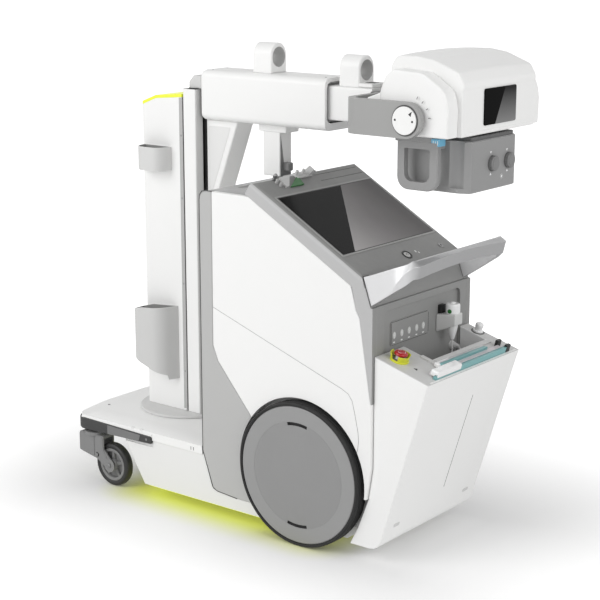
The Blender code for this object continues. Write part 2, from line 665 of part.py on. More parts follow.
def detector_bin(paint):
    """The bin behind the cabinet, its detectors, stop button and knob."""
    inner = [(x + SLIDE, z) for x, z in rear_line(0)]
    outline = [(BODY_REAR_X + SLIDE, BIN_TOP_Z), (BIN_LIP_X, BIN_LIP_Z), (BIN_FOOT_X, BIN_FLOOR_Z, 0.045),
               (AXLE_X + 0.180, BIN_FLOOR_Z)] + inner[1:]
    shape = prism(rounded(outline), "Y", -BIN_HALF_WIDTH, BIN_HALF_WIDTH)
    rims = [rim for rim in shape.edges
            if all(point.co.x > bin_rear_x(point.co.z) - 0.02 and point.co.z > 0.08 for point in rim.verts)
            and abs(rim.verts[0].co.z - rim.verts[1].co.z) > 0.2]
    soften(shape, rims, 0.018, 4)
    body = smooth(piece("detector_bin", shape, paint["white"]))
    for side, sign in SIDES:
        cut(body, f"arch_{side}", arch_cutter(sign))
    well = block((BODY_REAR_X - 0.01, WELL_RIGHT_Y, WELL_FLOOR_Z), (WELL_REAR_X, WELL_LEFT_Y, 0.70))
    cut(body, "well", well)
    table = (
        # name, offset in from the outer wall, half width, foot height
        ("detector_rear", BIN_WALL, 0.196, 0.270),
        ("detector_front", BIN_WALL + 0.0335, 0.124, 0.380),
    )
    for name, offset, half, foot in table:
        slack = DETECTOR_CLEARANCE
        top = bin_top_z(BIN_LIP_X - offset) + DETECTOR_PROUD
        high = 0.70
        deep = DETECTOR_THICKNESS + 2 * slack
        space = [(bin_rear_x(z) - offset - inward, z) for inward, z in
                 ((deep, foot), (0, foot), (0, high), (deep, high))]
        deep = DETECTOR_THICKNESS + slack
        plate = [(bin_rear_x(z) - offset - inward, z) for inward, z in
                 ((deep, foot + GAP), (slack, foot + GAP), (slack, top), (deep, top))]
        cut(body, name, prism(space, "Y", -half - 2 * slack, half + 2 * slack))
        piece(name, prism(plate, "Y", -half, half, 0.002, 1), paint["teal"])
    corner = (BODY_REAR_X, 0, BIN_TOP_Z)
    slope = (BIN_TOP_Z - BIN_LIP_Z) / (BIN_LIP_X - BODY_REAR_X)
    stop = block((0.028, -0.222, GAP), (0.078, -0.172, 0.022), 0.006)
    housing = piece("stop_housing", on_slope(stop, corner, slope), paint["yellow"])
    cut(housing, "seat", on_slope(drum((0.053, -0.197, 0), "Z", 0.0175, 0.008, 0.04, 32), corner, slope))
    button = turned([(0, 0.0083), (0.010, 0.0083), (0.010, 0.0225), (0.0195, 0.0225), (0.0195, 0.029),
                     (0.015, 0.033), (0, 0.034)], (0.053, -0.197, 0), "Z", 32)
    smooth(piece("stop_button", on_slope(button, corner, slope), paint["red"]))
    knob = turned([(0, GAP), (0.0165, GAP), (0.0165, 0.005), (0.0125, 0.006), (0.0125, 0.026),
                   (0.009, 0.030), (0, 0.0305)], (0.055, BIN_HALF_WIDTH - 0.024, 0), "Z", 32)
    smooth(piece("bin_knob", on_slope(knob, corner, slope), paint["light"]))


def front_deck(paint):
    """The low deck in front of the cabinet, its bumper and the casters' mounting box."""
    inset = BUMPER_THICKNESS + SLIDE
    rear = BODY_FRONT_X - 0.0035
    wide = SIDE_Y
    step = BUMPER_REAR_X + 0.001
    lower = [(rear, -wide), (step, -wide), (step, -BUMPER_Y + inset)] + nose(inset, step)[1:-1]
    lower += [(step, BUMPER_Y - inset), (step, wide), (rear, wide)]
    slab = prism(rounded(lower), "Z", SKIRT_TOP_Z + GAP, DECK_EDGE_Z - 0.002)
    deck = piece("front_deck", slab, paint["white"])
    shape = prism(rounded(nose(0.005, rear)), "Z", BUMPER_HIGH_Z + SLIDE, DECK_EDGE_Z + 0.004)
    join(deck, "lip", shape)
    join(deck, "pad", frustum(rounded(nose(0.006, rear), 15), rounded(nose(PAD_INSET, rear), 15),
                              DECK_EDGE_Z + 0.003, DECK_TOP_Z))
    box = [(-0.520, -0.243), (-0.704, -0.243, 0.035), (-0.704, 0.243, 0.035), (-0.520, 0.243)]
    join(deck, "caster_box", prism(rounded(box), "Z", CASTER_PAD_Z, SKIRT_TOP_Z + 0.004))
    band = nose(0, BUMPER_REAR_X) + list(reversed(nose(BUMPER_THICKNESS, BUMPER_REAR_X)))
    shape = prism(rounded(band), "Z", BUMPER_LOW_Z, BUMPER_HIGH_Z, 0.003, 1)
    smooth(piece("front_bumper", shape, paint["black"]))


def frustum(low_outline, high_outline, low, high):
    """A tapering slab between two plan outlines of the same count."""
    shape = prism(low_outline, "Z", low, high)
    for point in shape.verts:
        if point.co.z > (low + high) / 2:
            here = Vector((point.co.x, point.co.y))
            steps = [(Vector(corner) - here).length for corner in low_outline]
            point.co.x, point.co.y = high_outline[steps.index(min(steps))]
    return shape


def drive_wheels(paint):
    """The two driven wheels: a disc with its tyre on each side."""
    for side, sign in SIDES:
        centre = (AXLE_X, sign * WHEEL_INNER_Y, WHEEL_RADIUS)
        hub = pivot(f"drive_wheel_{side}", centre)
        bead = DISC_RADIUS + GAP
        width = WHEEL_WIDTH
        out = WHEEL_RADIUS
        tyre = [(bead, 0.002), (out - 0.004, 0), (out - 0.001, 0.003), (out, 0.010), (out, width - 0.010),
                (out - 0.001, width - 0.003), (out - 0.004, width), (bead, width - 0.001)]
        disc = [(0, width - 0.002), (DISC_RADIUS - 0.002, width - 0.002), (DISC_RADIUS, width - 0.004),
                (DISC_RADIUS, 0.004), (DISC_RADIUS - 0.022, 0.004), (DISC_RADIUS - 0.030, width - 0.018),
                (0.060, width - 0.018), (0.052, 0.002), (AXLE_RADIUS + GAP, 0.002),
                (AXLE_RADIUS + GAP, width - 0.0115), (0, width - 0.0115)]
        table = (
            # name, profile, material
            ("drive_tyre", tyre, paint["rubber"]),
            ("drive_disc", disc, paint["mid"]),
        )
        for name, profile, material in table:
            shape = turned([(r, along * sign) for r, along in profile], centre, "Y", 72)
            smooth(piece(f"{name}_{side}", shape, material, hub))


def casters(paint):
    """The two swivel casters: a fork, a hub and a tyre on each side."""
    for side, sign in SIDES:
        y = sign * CASTER_Y
        swivel = pivot(f"caster_swivel_{side}", (CASTER_X, y, CASTER_PAD_Z))
        centre = (CASTER_X + CASTER_TRAIL, y, CASTER_RADIUS)
        roll = pivot(f"caster_wheel_{side}", centre, swivel)
        inside = CASTER_WIDTH / 2 + RUN
        outside = inside + CHEEK
        crown = CASTER_PAD_Z - 0.008
        profile = [(-0.055, crown, 0.006), (0.058, crown, 0.006), (0.058, crown - 0.045),
                   (0.094, 0.092, 0.012), (0.103, 0.068, 0.012), (0.085, 0.056, 0.012), (0.064, 0.066),
                   (0.026, 0.088), (-0.055, 0.104, 0.012)]
        outline = rounded([(CASTER_X + corner[0], *corner[1:]) for corner in profile], 30)
        fork = piece(f"caster_fork_{side}", prism(outline, "Y", y - outside, y + outside, 0.002, 1),
                     paint["mid"], swivel)
        space = block((CASTER_X - 0.045, y - inside, 0), (CASTER_X + 0.2, y + inside, crown - 0.010))
        cut(fork, "wheel_space", space)
        join(fork, "axle", drum(centre, "Y", CASTER_PIN_RADIUS, -outside - 0.002, outside + 0.002, 24))
        disc = drum((CASTER_X, y, 0), "Z", 0.038, crown - 0.004, CASTER_PAD_Z - SLIDE, 40)
        join(fork, "swivel_disc", disc)
        half = CASTER_WIDTH / 2
        bore = CASTER_PIN_RADIUS + SLIDE
        hub = [(bore, -half), (0.019, -half), (0.022, -half + 0.006), (0.050, -half + 0.006),
               (0.054, -half + 0.002), (0.056, -half + 0.002), (0.056, half - 0.002), (0.054, half - 0.002),
               (0.050, half - 0.006), (0.022, half - 0.006), (0.019, half), (bore, half)]
        rim = 0.056 + GAP
        out = CASTER_RADIUS
        tyre = [(rim, -half + 0.003), (out - 0.010, -half), (out - 0.003, -half + 0.004), (out, -0.006),
                (out, 0.006), (out - 0.003, half - 0.004), (out - 0.010, half), (rim, half - 0.003)]
        smooth(piece(f"caster_hub_{side}", turned(hub, centre, "Y", 40), paint["mid"], roll))
        smooth(piece(f"caster_tyre_{side}", turned(tyre, centre, "Y", 48), paint["rubber"], roll))


def column(paint):
    """The turning column: turntable, cover with its light, guide channel, cup and pocket."""
    swivel = pivot("column_swivel", (COLUMN_X, 0, DECK_TOP_Z))
    foot = TURNTABLE_TOP_Z + GAP
    thick = TURNTABLE_TOP_Z - DECK_TOP_Z
    table = turned([(0, GAP), (TURNTABLE_RADIUS - 0.002, GAP), (TURNTABLE_RADIUS, 0.003),
                    (TURNTABLE_RADIUS, thick - 0.003), (TURNTABLE_RADIUS - 0.003, thick), (0, thick)],
                   (COLUMN_X, 0, DECK_TOP_Z), "Z", 72)
    smooth(piece("turntable", table, paint["grey"], swivel))
    plan = rounded([(COVER_FRONT_X, -COLUMN_Y, 0.018), (COVER_REAR_X, -COLUMN_Y, 0.004),
                    (COVER_REAR_X, COLUMN_Y, 0.004), (COVER_FRONT_X, COLUMN_Y, 0.018)])
    brow = [(COVER_FRONT_X - 0.01, COVER_TOP_Z - 0.039),
            (COVER_FRONT_X + 0.383 * COVER_DEPTH, COVER_TOP_Z - 0.008),
            (COVER_REAR_X + 0.01, COVER_TOP_Z + 0.003)]
    cover = piece("column_cover", prism(plan, "Z", foot, COVER_TOP_Z + 0.03), paint["white"], swivel)
    over = COVER_TOP_Z + 0.1
    above = [(x, z) for x, z in brow] + [(COVER_REAR_X + 0.01, over), (COVER_FRONT_X - 0.01, over)]
    cut(cover, "top", prism(above, "Y", -0.2, 0.2))
    smooth(cover)
    band = [(x, z + GAP) for x, z in brow] + [(x, z + LIGHT_THICKNESS) for x, z in reversed(brow)]
    slab = prism(plan, "Z", COVER_TOP_Z - 0.06, COVER_TOP_Z + 0.05)
    light = piece("column_light", slab, paint["glow"], swivel)
    combine(light, "INTERSECT", "band", prism(band, "Y", -0.2, 0.2))
    smooth(light)
    plan = rounded([(CHANNEL_FRONT_X, -COLUMN_Y, 0.003), (CHANNEL_REAR_X, -COLUMN_Y, 0.006),
                    (CHANNEL_REAR_X, COLUMN_Y, 0.006), (CHANNEL_FRONT_X, COLUMN_Y, 0.003)])
    channel = piece("column_channel", prism(plan, "Z", foot, CHANNEL_TOP_Z), paint["light"], swivel)
    x_low, x_high, y_half = slab_space()
    over = CHANNEL_TOP_Z + 0.1
    cut(channel, "guideway", block((x_low - SLIDE, -y_half - SLIDE, CHANNEL_FLOOR_Z),
                                   (x_high + SLIDE, y_half + SLIDE, over)))
    cut(channel, "slot", block((x_high - 0.005, -CHANNEL_SLOT_HALF, CHANNEL_SLOT_Z),
                               (CHANNEL_REAR_X + 0.01, CHANNEL_SLOT_HALF, over)))
    smooth(channel)
    cup_and_pocket(paint, swivel)
    return swivel


def cup_and_pocket(paint, swivel):
    """The cup holder and the document pocket on the column's right side."""
    seat = -COLUMN_Y - GAP
    front = COVER_FRONT_X + CUP_INSET
    rear = COVER_REAR_X - CUP_INSET - 0.005
    out = seat - CUP_DEPTH
    wall = POCKET_WALL + 0.0005
    plan = rounded([(front, seat), (front, out, 0.045), (rear, out, 0.045), (rear, seat)], 15)
    cup = piece("cup_holder", prism(plan, "Z", CUP_FLOOR_Z, CUP_TOP_Z), paint["light"], swivel)
    space = rounded([(front + wall, seat - POCKET_WALL), (front + wall, out + wall, 0.045 - wall),
                     (rear - wall, out + wall, 0.045 - wall), (rear - wall, seat - POCKET_WALL)], 15)
    cut(cup, "well", prism(space, "Z", CUP_FLOOR_Z + wall, CUP_TOP_Z + 0.05))
    smooth(cup)
    front = COVER_FRONT_X - 0.006
    rear = COVER_REAR_X - 0.030
    out = seat - POCKET_DEPTH
    wall = POCKET_WALL
    low = POCKET_FLOOR_Z
    high = POCKET_TOP_Z
    plan = rounded([(front, seat), (front, out, 0.040), (rear - 0.028, out, 0.060), (rear, seat)], 15)
    pocket = piece("side_pocket", prism(plan, "Z", low, high), paint["grey"], swivel)
    space = rounded([(front + wall, seat - wall), (front + wall, out + wall, 0.040 - wall),
                     (rear - 0.030, out + wall, 0.060 - wall), (rear - 0.0065, seat - wall)], 15)
    cut(pocket, "well", prism(space, "Z", low + 0.085, high + 0.07))
    before = front - 0.029
    rim = [(before, high - 0.040), (front + 0.051, high - 0.018), (rear + 0.012, high - 0.008),
           (rear + 0.012, high + 0.07), (before, high + 0.07)]
    cut(pocket, "rim", prism(rim, "Y", out - 0.05, -COLUMN_Y + 0.03))
    foot = [(before, low + 0.085), (front, low + 0.066), (rear - 0.018, low + 0.016),
            (rear - 0.013, low - 0.02), (before, low - 0.02)]
    cut(pocket, "foot", prism(foot, "Y", out - 0.05, -COLUMN_Y + 0.03))
    smooth(pocket)


def slab_space():
    """The mast slab's section: front x, rear x and half width."""
    return CHANNEL_FRONT_X + 0.012, CHANNEL_REAR_X - 0.013, COLUMN_Y - 0.016


def arm(paint, swivel):
    """The rising mast with its outer boom, and the boom's telescopic inner arm."""
    lift = pivot("column_lift", ((CHANNEL_FRONT_X + CHANNEL_REAR_X) / 2, 0, CHANNEL_TOP_Z), swivel)
    x_low, x_high, y_half = slab_space()
    slab = block((x_low, -y_half, CHANNEL_FLOOR_Z + 0.002), (x_high, y_half, CHANNEL_TOP_Z + 0.003))
    mast = piece("mast", slab, paint["silver"], lift)
    half = GUSSET_HALF_WIDTH
    join(mast, "carriage", block((x_high - 0.004, -half, CHANNEL_SLOT_Z + 0.015),
                                 (SLEEVE_FRONT_X - GAP, half, CHANNEL_TOP_Z + 0.010)))
    join(mast, "cap", block((x_low, -y_half, CHANNEL_TOP_Z + 0.0015),
                            (SLEEVE_FRONT_X - GAP, y_half, CHANNEL_TOP_Z + 0.043), 0.003, 1))
    outer = SLEEVE_HALF_WIDTH
    section = rounded([(-outer, SLEEVE_LOW_Z, 0.022), (outer, SLEEVE_LOW_Z, 0.022),
                       (outer, SLEEVE_HIGH_Z, 0.022), (-outer, SLEEVE_HIGH_Z, 0.022)], 30)
    shape = prism(section, "X", SLEEVE_FRONT_X, SLEEVE_REAR_X)
    rims = [rim for rim in shape.edges
            if all(abs(point.co.x - SLEEVE_FRONT_X) < 1e-6 for point in rim.verts)]
    soften(shape, rims, 0.010, 2)
    sleeve = piece("boom_sleeve", shape, paint["white"], lift)
    tall = ARM_HALF_HEIGHT
    section = arm_section(SLIDE)
    cut(sleeve, "bore", prism(section, "X", ARM_FRONT_X - 0.005, SLEEVE_REAR_X + 0.01))
    cut(sleeve, "mouth", prism(arm_section(0.010), "X", SLEEVE_REAR_X - 0.022, SLEEVE_REAR_X + 0.01))
    smooth(sleeve)
    slope = GUSSET_REACH
    gusset = [(SLEEVE_FRONT_X, SLEEVE_LOW_Z - GAP), (SLEEVE_FRONT_X + slope, SLEEVE_LOW_Z - GAP),
              (SLEEVE_FRONT_X + slope - GUSSET_LEAN * GUSSET_HEIGHT, GUSSET_FOOT_Z, 0.004),
              (SLEEVE_FRONT_X, GUSSET_FOOT_Z)]
    piece("boom_gusset", prism(rounded(gusset), "Y", -half, half, 0.003, 1), paint["white"], lift)
    cable_loop("cable_loop_front", -0.119, SLEEVE_HIGH_Z + GAP, 0.0, paint["white"], lift)
    bar = block((POST_FRONT_X, -POST_HALF_WIDTH, POST_FOOT_Z),
                (POST_REAR_X, POST_HALF_WIDTH, SLEEVE_LOW_Z - 0.012), 0.004)
    post = piece("dock_post", bar, paint["white"], lift)
    join(post, "tee", block((POST_FRONT_X - 0.015, -POST_HALF_WIDTH - 0.003, SLEEVE_LOW_Z - 0.0225),
                            (POST_REAR_X + 0.027, POST_HALF_WIDTH + 0.003, SLEEVE_LOW_Z - GAP), 0.002, 1))
    join(post, "latch", block((POST_REAR_X - 0.004, -0.012, POST_FOOT_Z + 0.017),
                              (POST_REAR_X + 0.022, 0.012, POST_FOOT_Z + 0.043), 0.003, 1))
    slide = pivot("boom_slide", (ARM_FRONT_X, 0, ARM_Z), lift)
    inner = piece("inner_arm", prism(arm_section(0), "X", ARM_FRONT_X, ARM_REAR_X), paint["white"], slide)
    flange = ARM_REAR_X + FLANGE_LENGTH
    join(inner, "flange", drum((0, 0, ARM_Z), "X", FLANGE_RADIUS, ARM_REAR_X - 0.004, flange, 48))
    cut(inner, "roll_bore", drum((0, 0, ARM_Z), "X", PIN_RADIUS + SLIDE, flange - 0.045, flange + 0.01, 40))
    smooth(inner)
    cable_loop("cable_loop_rear", 0.216, ARM_Z + tall + GAP, 0.047, paint["white"], slide)
    return slide


def arm_section(grow):
    """The inner arm's section, or a clear space round it."""
    wide = ARM_HALF_WIDTH + grow
    tall = ARM_HALF_HEIGHT + grow
    radius = 0.008 + grow
    return rounded([(-wide, ARM_Z - tall, radius), (wide, ARM_Z - tall, radius),
                    (wide, ARM_Z + tall, radius), (-wide, ARM_Z + tall, radius)], 45)


def cable_loop(name, front, seat, foot, material, parent):
    """An arched eye that carries the tube's cable along the boom."""
    half = LOOP_HALF_WIDTH
    crown = seat + LOOP_RISE + half
    bend = half - 0.001
    arch = rounded([(-half, seat), (half, seat), (half, crown, bend), (-half, crown, bend)], 15)
    shape = prism(arch, "X", front, front + LOOP_LENGTH, 0.003, 1)
    loop = piece(name, shape, material, parent)
    if foot:
        join(loop, "foot", block((front + 0.005, 0.0007 - half, seat + 0.0005),
                                 (front + LOOP_LENGTH + foot, half - 0.0007, seat + 0.012), 0.002, 1))
    cut(loop, "eye", drum((0, 0, seat + LOOP_RISE - 0.006), "X", LOOP_HOLE_RADIUS, front - 0.01,
                          front + LOOP_LENGTH + 0.06, 48))
    smooth(loop)


def tube_head(paint, slide):
    """The roll fork, the tilting tube housing and the turning collimator."""
    roll = pivot("fork_roll", (ARM_REAR_X + FLANGE_LENGTH, 0, ARM_Z), slide)
    half = FORK_OUTER_Y
    inside = half - FORK_PLATE
    tip = PIVOT_X + FORK_HALF_HEIGHT
    back = FORK_BACK_X
    plan = [(tip, -half), (back, -half, 0.050), (back, half, 0.050), (tip, half), (tip, inside),
            (back + FORK_WEB, inside, 0.032), (back + FORK_WEB, -inside, 0.032), (tip, -inside)]
    high = FORK_HALF_HEIGHT
    fork = piece("roll_fork", prism(rounded(plan), "Z", ARM_Z - high, ARM_Z + high), paint["mid"], roll)
    bend = high - 0.001
    profile = [(back - 0.01, ARM_Z - high), (tip, ARM_Z - high, bend), (tip, ARM_Z + high, bend),
               (back - 0.01, ARM_Z + high)]
    combine(fork, "INTERSECT", "tips", prism(rounded(profile, 15), "Y", -half - 0.03, half + 0.03))
    face = ARM_REAR_X + FLANGE_LENGTH
    deep = back + 0.005 - face
    stub = turned([(0, -0.043), (PIN_RADIUS, -0.043), (PIN_RADIUS, SLIDE), (FLANGE_RADIUS, SLIDE),
                   (FLANGE_RADIUS, deep), (0, deep)], (face, 0, ARM_Z), "X", 48)
    join(fork, "hub", stub)
    cut(fork, "pin_holes", drum((PIVOT_X, 0, ARM_Z), "Y", PIN_RADIUS + SLIDE, -0.3, 0.3, 40))
    smooth(fork)
    tilt = pivot("head_tilt", (PIVOT_X, 0, ARM_Z), roll)
    shoulder = HEAD_SHOULDER_Z
    crest = HEAD_TOP_Z - HEAD_CROWN
    step = HEAD_BACK_X + 0.045
    rear = HEAD_REAR_X
    screen_top = SCREEN_HIGH_Z
    screen_foot = SCREEN_LOW_Z
    outline = [(HEAD_BACK_X, HEAD_FLOOR_Z), (HEAD_BACK_X + 0.002, shoulder, 0.006),
               (step, shoulder + 0.016, 0.01), (step + 0.002, shoulder + 0.745 * (crest - shoulder), 0.010),
               (step + 0.020, crest - 0.001, 0.022), (PIVOT_X - 0.016, crest, 0.05),
               (PIVOT_X + 0.039, crest - 0.0075, 0.05), (rear - 0.015, crest - 0.0375, 0.020),
               (rear + SCREEN_THICKNESS, crest - 0.0675, 0.02),
               (rear + SCREEN_THICKNESS, screen_top + 0.007), (rear, screen_top + 0.001),
               (rear, screen_foot - 0.003), (rear + 0.001, screen_foot - 0.007), (rear, HEAD_FLOOR_Z)]
    shape = prism(rounded(outline), "Y", -HEAD_HALF_WIDTH, HEAD_HALF_WIDTH, 0.003, 2)
    crowned(shape, HEAD_HALF_WIDTH, HEAD_CROWN, crest - 0.0795)
    housing = piece("tube_housing", shape, paint["white"], tilt)
    socket = drum((PIVOT_X, 0, 0), "Z", 0.040 + SLIDE, HEAD_FLOOR_Z - 0.01, HEAD_FLOOR_Z + 0.020, 48)
    cut(housing, "ring_socket", socket)
    smooth(housing)
    crest = HEAD_TOP_Z - CAP_SINK
    rear = HEAD_REAR_X - CAP_INSET
    cap_outline = [(HEAD_BACK_X, HEAD_FLOOR_Z), (HEAD_BACK_X + 0.002, shoulder - 0.002, 0.006),
                   (step, shoulder + 0.014), (step + 0.017, crest - 0.021, 0.02),
                   (step + 0.045, crest, 0.02), (PIVOT_X + 0.039, crest - 0.006, 0.05),
                   (rear - 0.008, crest - 0.054, 0.05), (rear, crest - 0.106),
                   (rear - 0.002, HEAD_FLOOR_Z)]
    for side, sign in SIDES:
        low, high = mirrored(HEAD_HALF_WIDTH + GAP, inside - RUN, sign)
        shape = prism(rounded(cap_outline), "Y", low, high)
        outer_y = high if sign > 0 else low
        rims = [rim for rim in shape.edges
                if all(abs(point.co.y - outer_y) < 1e-6 for point in rim.verts)]
        soften(shape, rims, 0.020, 4)
        cap = piece(f"tube_cap_{side}", shape, paint["white"], tilt)
        low, high = mirrored(inside - RUN - 0.004, inside - SLIDE, sign)
        join(cap, "boss", drum((PIVOT_X, 0, ARM_Z), "Y", 0.030, low, high, 40))
        low, high = mirrored(inside - RUN - 0.030, inside + 0.01, sign)
        cut(cap, "pin_bore", drum((PIVOT_X, 0, ARM_Z), "Y", PIN_RADIUS + GAP, low, high, 40))
        smooth(cap)
        pin = [(0, inside - RUN - 0.0297), (PIN_RADIUS, inside - RUN - 0.0297), (PIN_RADIUS, half + SLIDE),
               (PIN_DISC_RADIUS, half + SLIDE), (PIN_DISC_RADIUS, half + PIN_DISC_WIDTH - 0.001),
               (PIN_DISC_RADIUS - 0.001, half + PIN_DISC_WIDTH), (0, half + PIN_DISC_WIDTH)]
        shape = turned([(r, along * sign) for r, along in pin], (PIVOT_X, 0, ARM_Z), "Y", 48)
        smooth(piece(f"tilt_pin_{side}", shape, paint["white"], tilt))
    screen = [(-SCREEN_HALF_WIDTH, SCREEN_LOW_Z, 0.006), (SCREEN_HALF_WIDTH, SCREEN_LOW_Z, 0.006),
              (SCREEN_HALF_WIDTH, SCREEN_HIGH_Z, 0.006), (-SCREEN_HALF_WIDTH, SCREEN_HIGH_Z, 0.006)]
    shape = prism(rounded(screen), "X", HEAD_REAR_X + GAP, HEAD_REAR_X + SCREEN_THICKNESS)
    piece("head_display", shape, paint["glass"], tilt)
    turn = pivot("collimator_turn", (PIVOT_X, 0, COLLIMATOR_TOP_Z), tilt)
    collimator(paint, turn)


def crowned(shape, half, rise, base):
    """Raise the top of a shape towards its middle."""
    for number in range(1, 8):
        cut_y = half * (number - 4) / 4
        everything = shape.verts[:] + shape.edges[:] + shape.faces[:]
        bmesh.ops.bisect_plane(shape, geom=everything, dist=1e-6, plane_co=(0, cut_y, 0), plane_no=(0, 1, 0))
    for point in shape.verts:
        share = min(1.0, max(0.0, (point.co.z - base) / 0.06))
        point.co.z += rise * share * (1 - min(1.0, abs(point.co.y) / half) ** 2)


def collimator(paint, turn):
    """The collimator box with its handles and knobs, and the ring that it turns on."""
    half = COLLIMATOR_HALF_WIDTH
    rear = COLLIMATOR_REAR_X
    front = COLLIMATOR_FRONT_X
    plan = [(rear, -half, 0.012), (rear, half, 0.012), (rear - 0.035, half + 0.016, 0.02),
            (front + 0.05, half + 0.016, 0.03), (front, half - 0.01, 0.02), (front, 0.01 - half, 0.02),
            (front + 0.05, -half - 0.016, 0.03), (rear - 0.035, -half - 0.016, 0.02)]
    floor = COLLIMATOR_FLOOR_Z
    top = COLLIMATOR_TOP_Z
    body = piece("collimator_body", prism(rounded(plan, 30), "Z", floor, top, 0.003, 1), paint["mid"], turn)
    for side, sign in SIDES:
        low, high = mirrored(GRIP_Y - GRIP_BAR / 2, GRIP_Y + GRIP_BAR / 2, sign)
        outer = [(GRIP_FRONT_X, floor + 0.004, GRIP_BEND), (GRIP_REAR_X, floor + 0.004, GRIP_BEND),
                 (GRIP_REAR_X, top - 0.002), (GRIP_FRONT_X, top - 0.002)]
        join(body, f"grip_{side}", prism(rounded(outer, 15), "Y", low, high, 0.003, 1))
        bridge_low, bridge_high = mirrored(half, GRIP_Y, sign)
        table = (
            # name, foot height, top height
            ("top", top - 0.022, top - 0.004),
            ("foot", floor + 0.006, floor + 0.024),
        )
        for name, z_low, z_high in table:
            inset = GRIP_BEND if name == "foot" else 0.004
            join(body, f"grip_{name}_{side}", block((GRIP_FRONT_X + inset, bridge_low, z_low),
                                                    (GRIP_REAR_X - inset, bridge_high, z_high)))
        front_edge = GRIP_FRONT_X + GRIP_ARM
        rear_edge = GRIP_REAR_X - GRIP_ARM
        bend = GRIP_BEND - 0.012
        window = [(front_edge, floor + 0.028, bend), (rear_edge, floor + 0.028, bend),
                  (rear_edge, top - 0.024, 0.004), (front_edge, top - 0.024, 0.004)]
        low, high = mirrored(GRIP_Y - 0.015, GRIP_Y + 0.03, sign)
        cut(body, f"window_{side}", prism(rounded(window, 15), "Y", low, high))
    side_y = GRIP_Y + GRIP_BAR / 2 - 0.001
    flange = block((GRIP_FRONT_X - 0.008, -side_y, top - 0.0065),
                   (GRIP_REAR_X - 0.022, side_y, top + FLANGE_RISE), 0.002, 1)
    join(body, "flange", flange)
    seat = drum((PIVOT_X, 0, 0), "Z", RING_RADIUS + GAP, top + GAP / 2, top + FLANGE_RISE + 0.01, 48)
    cut(body, "ring_seat", seat)
    for name, y in (("near", -0.010), ("far", 0.077)):
        end = rear + KNOB_LENGTH
        knob = turned([(0, rear - 0.003), (KNOB_RADIUS, rear - 0.003), (KNOB_RADIUS, end - 0.002),
                       (KNOB_RADIUS - 0.002, end), (0, end)], (0, y, floor + 0.075), "X", 32)
        join(body, f"knob_{name}", knob)
    smooth(body)
    ring = turned([(0, top + GAP), (RING_RADIUS, top + GAP), (RING_RADIUS, HEAD_FLOOR_Z - SLIDE),
                   (0.040, HEAD_FLOOR_Z - SLIDE), (0.040, HEAD_FLOOR_Z + 0.018), (0, HEAD_FLOOR_Z + 0.018)],
                  (PIVOT_X, 0, 0), "Z", 48)
    smooth(piece("collimator_ring", ring, paint["black"], turn))


def dock(paint):
    """The cradle on the console's rear edge, where the boom's latch comes to rest."""
    corner = (CONSOLE_BACK_X, 0, CONSOLE_BACK_Z)
    shape = block((0.004, -0.070, GAP), (0.030, 0.004, 0.006), 0.001, 1)
    cradle = piece("dock_cradle", on_slope(shape, corner, CONSOLE_SLOPE), paint["light"])
    for name, y in (("near", -0.062), ("far", -0.030)):
        peg = drum((0.013, y, 0), "Z", 0.005, 0.004, 0.020, 24)
        join(cradle, f"peg_{name}", on_slope(peg, corner, CONSOLE_SLOPE))
    wedge = prism([(-0.020, 0.004), (0.002, 0.004), (0.002, 0.026)], "X", 0.006, 0.028)
    join(cradle, "wedge", on_slope(wedge, corner, CONSOLE_SLOPE))


def main():
    clear_objects()
    paint = {
        "white": finish("white_paint", (0.83, 0.83, 0.82), 0.35),
        "light": finish("light_grey_plastic", (0.62, 0.62, 0.61), 0.4),
        "grey": finish("grey_plastic", (0.42, 0.42, 0.42), 0.4),
        "mid": finish("mid_grey_paint", (0.32, 0.32, 0.32), 0.4),
        "dark": finish("dark_grey_plastic", (0.24, 0.24, 0.24), 0.4),
        "black": finish("black_plastic", (0.03, 0.03, 0.03), 0.5),
        "rubber": finish("black_rubber", (0.015, 0.015, 0.015), 0.7),
        "steel": finish("steel", (0.5, 0.5, 0.5), 0.3, 1.0),
        "silver": finish("silver_paint", (0.45, 0.45, 0.46), 0.3, 0.5),
        "glass": finish("black_glass", (0.02, 0.02, 0.02), 0.1),
        "glow": finish("light_strip", (0.72, 0.78, 0.16), 0.4),
        "teal": finish("teal_plastic", (0.22, 0.45, 0.45), 0.4),
        "yellow": finish("yellow_plastic", (0.70, 0.72, 0.05), 0.4),
        "red": finish("red_plastic", (0.45, 0.0, 0.01), 0.4),
    }
    body_core(paint)
    side_panels(paint)
    console(paint)
    rear_panel(paint)
    detector_bin(paint)
    dock(paint)
    front_deck(paint)
    drive_wheels(paint)
    casters(paint)
    swivel = column(paint)
    slide = arm(paint, swivel)
    tube_head(paint, slide)


main()
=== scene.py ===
"""The looks of a mobile x-ray machine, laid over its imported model.

+X points to the operator's end and +Z up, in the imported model's own frame. Shapes are drawn in
millimetres; camera, lamps, floor and patterns are in metres.
"""

import json
import math

import bmesh
import bpy
from mathutils import Matrix, Vector


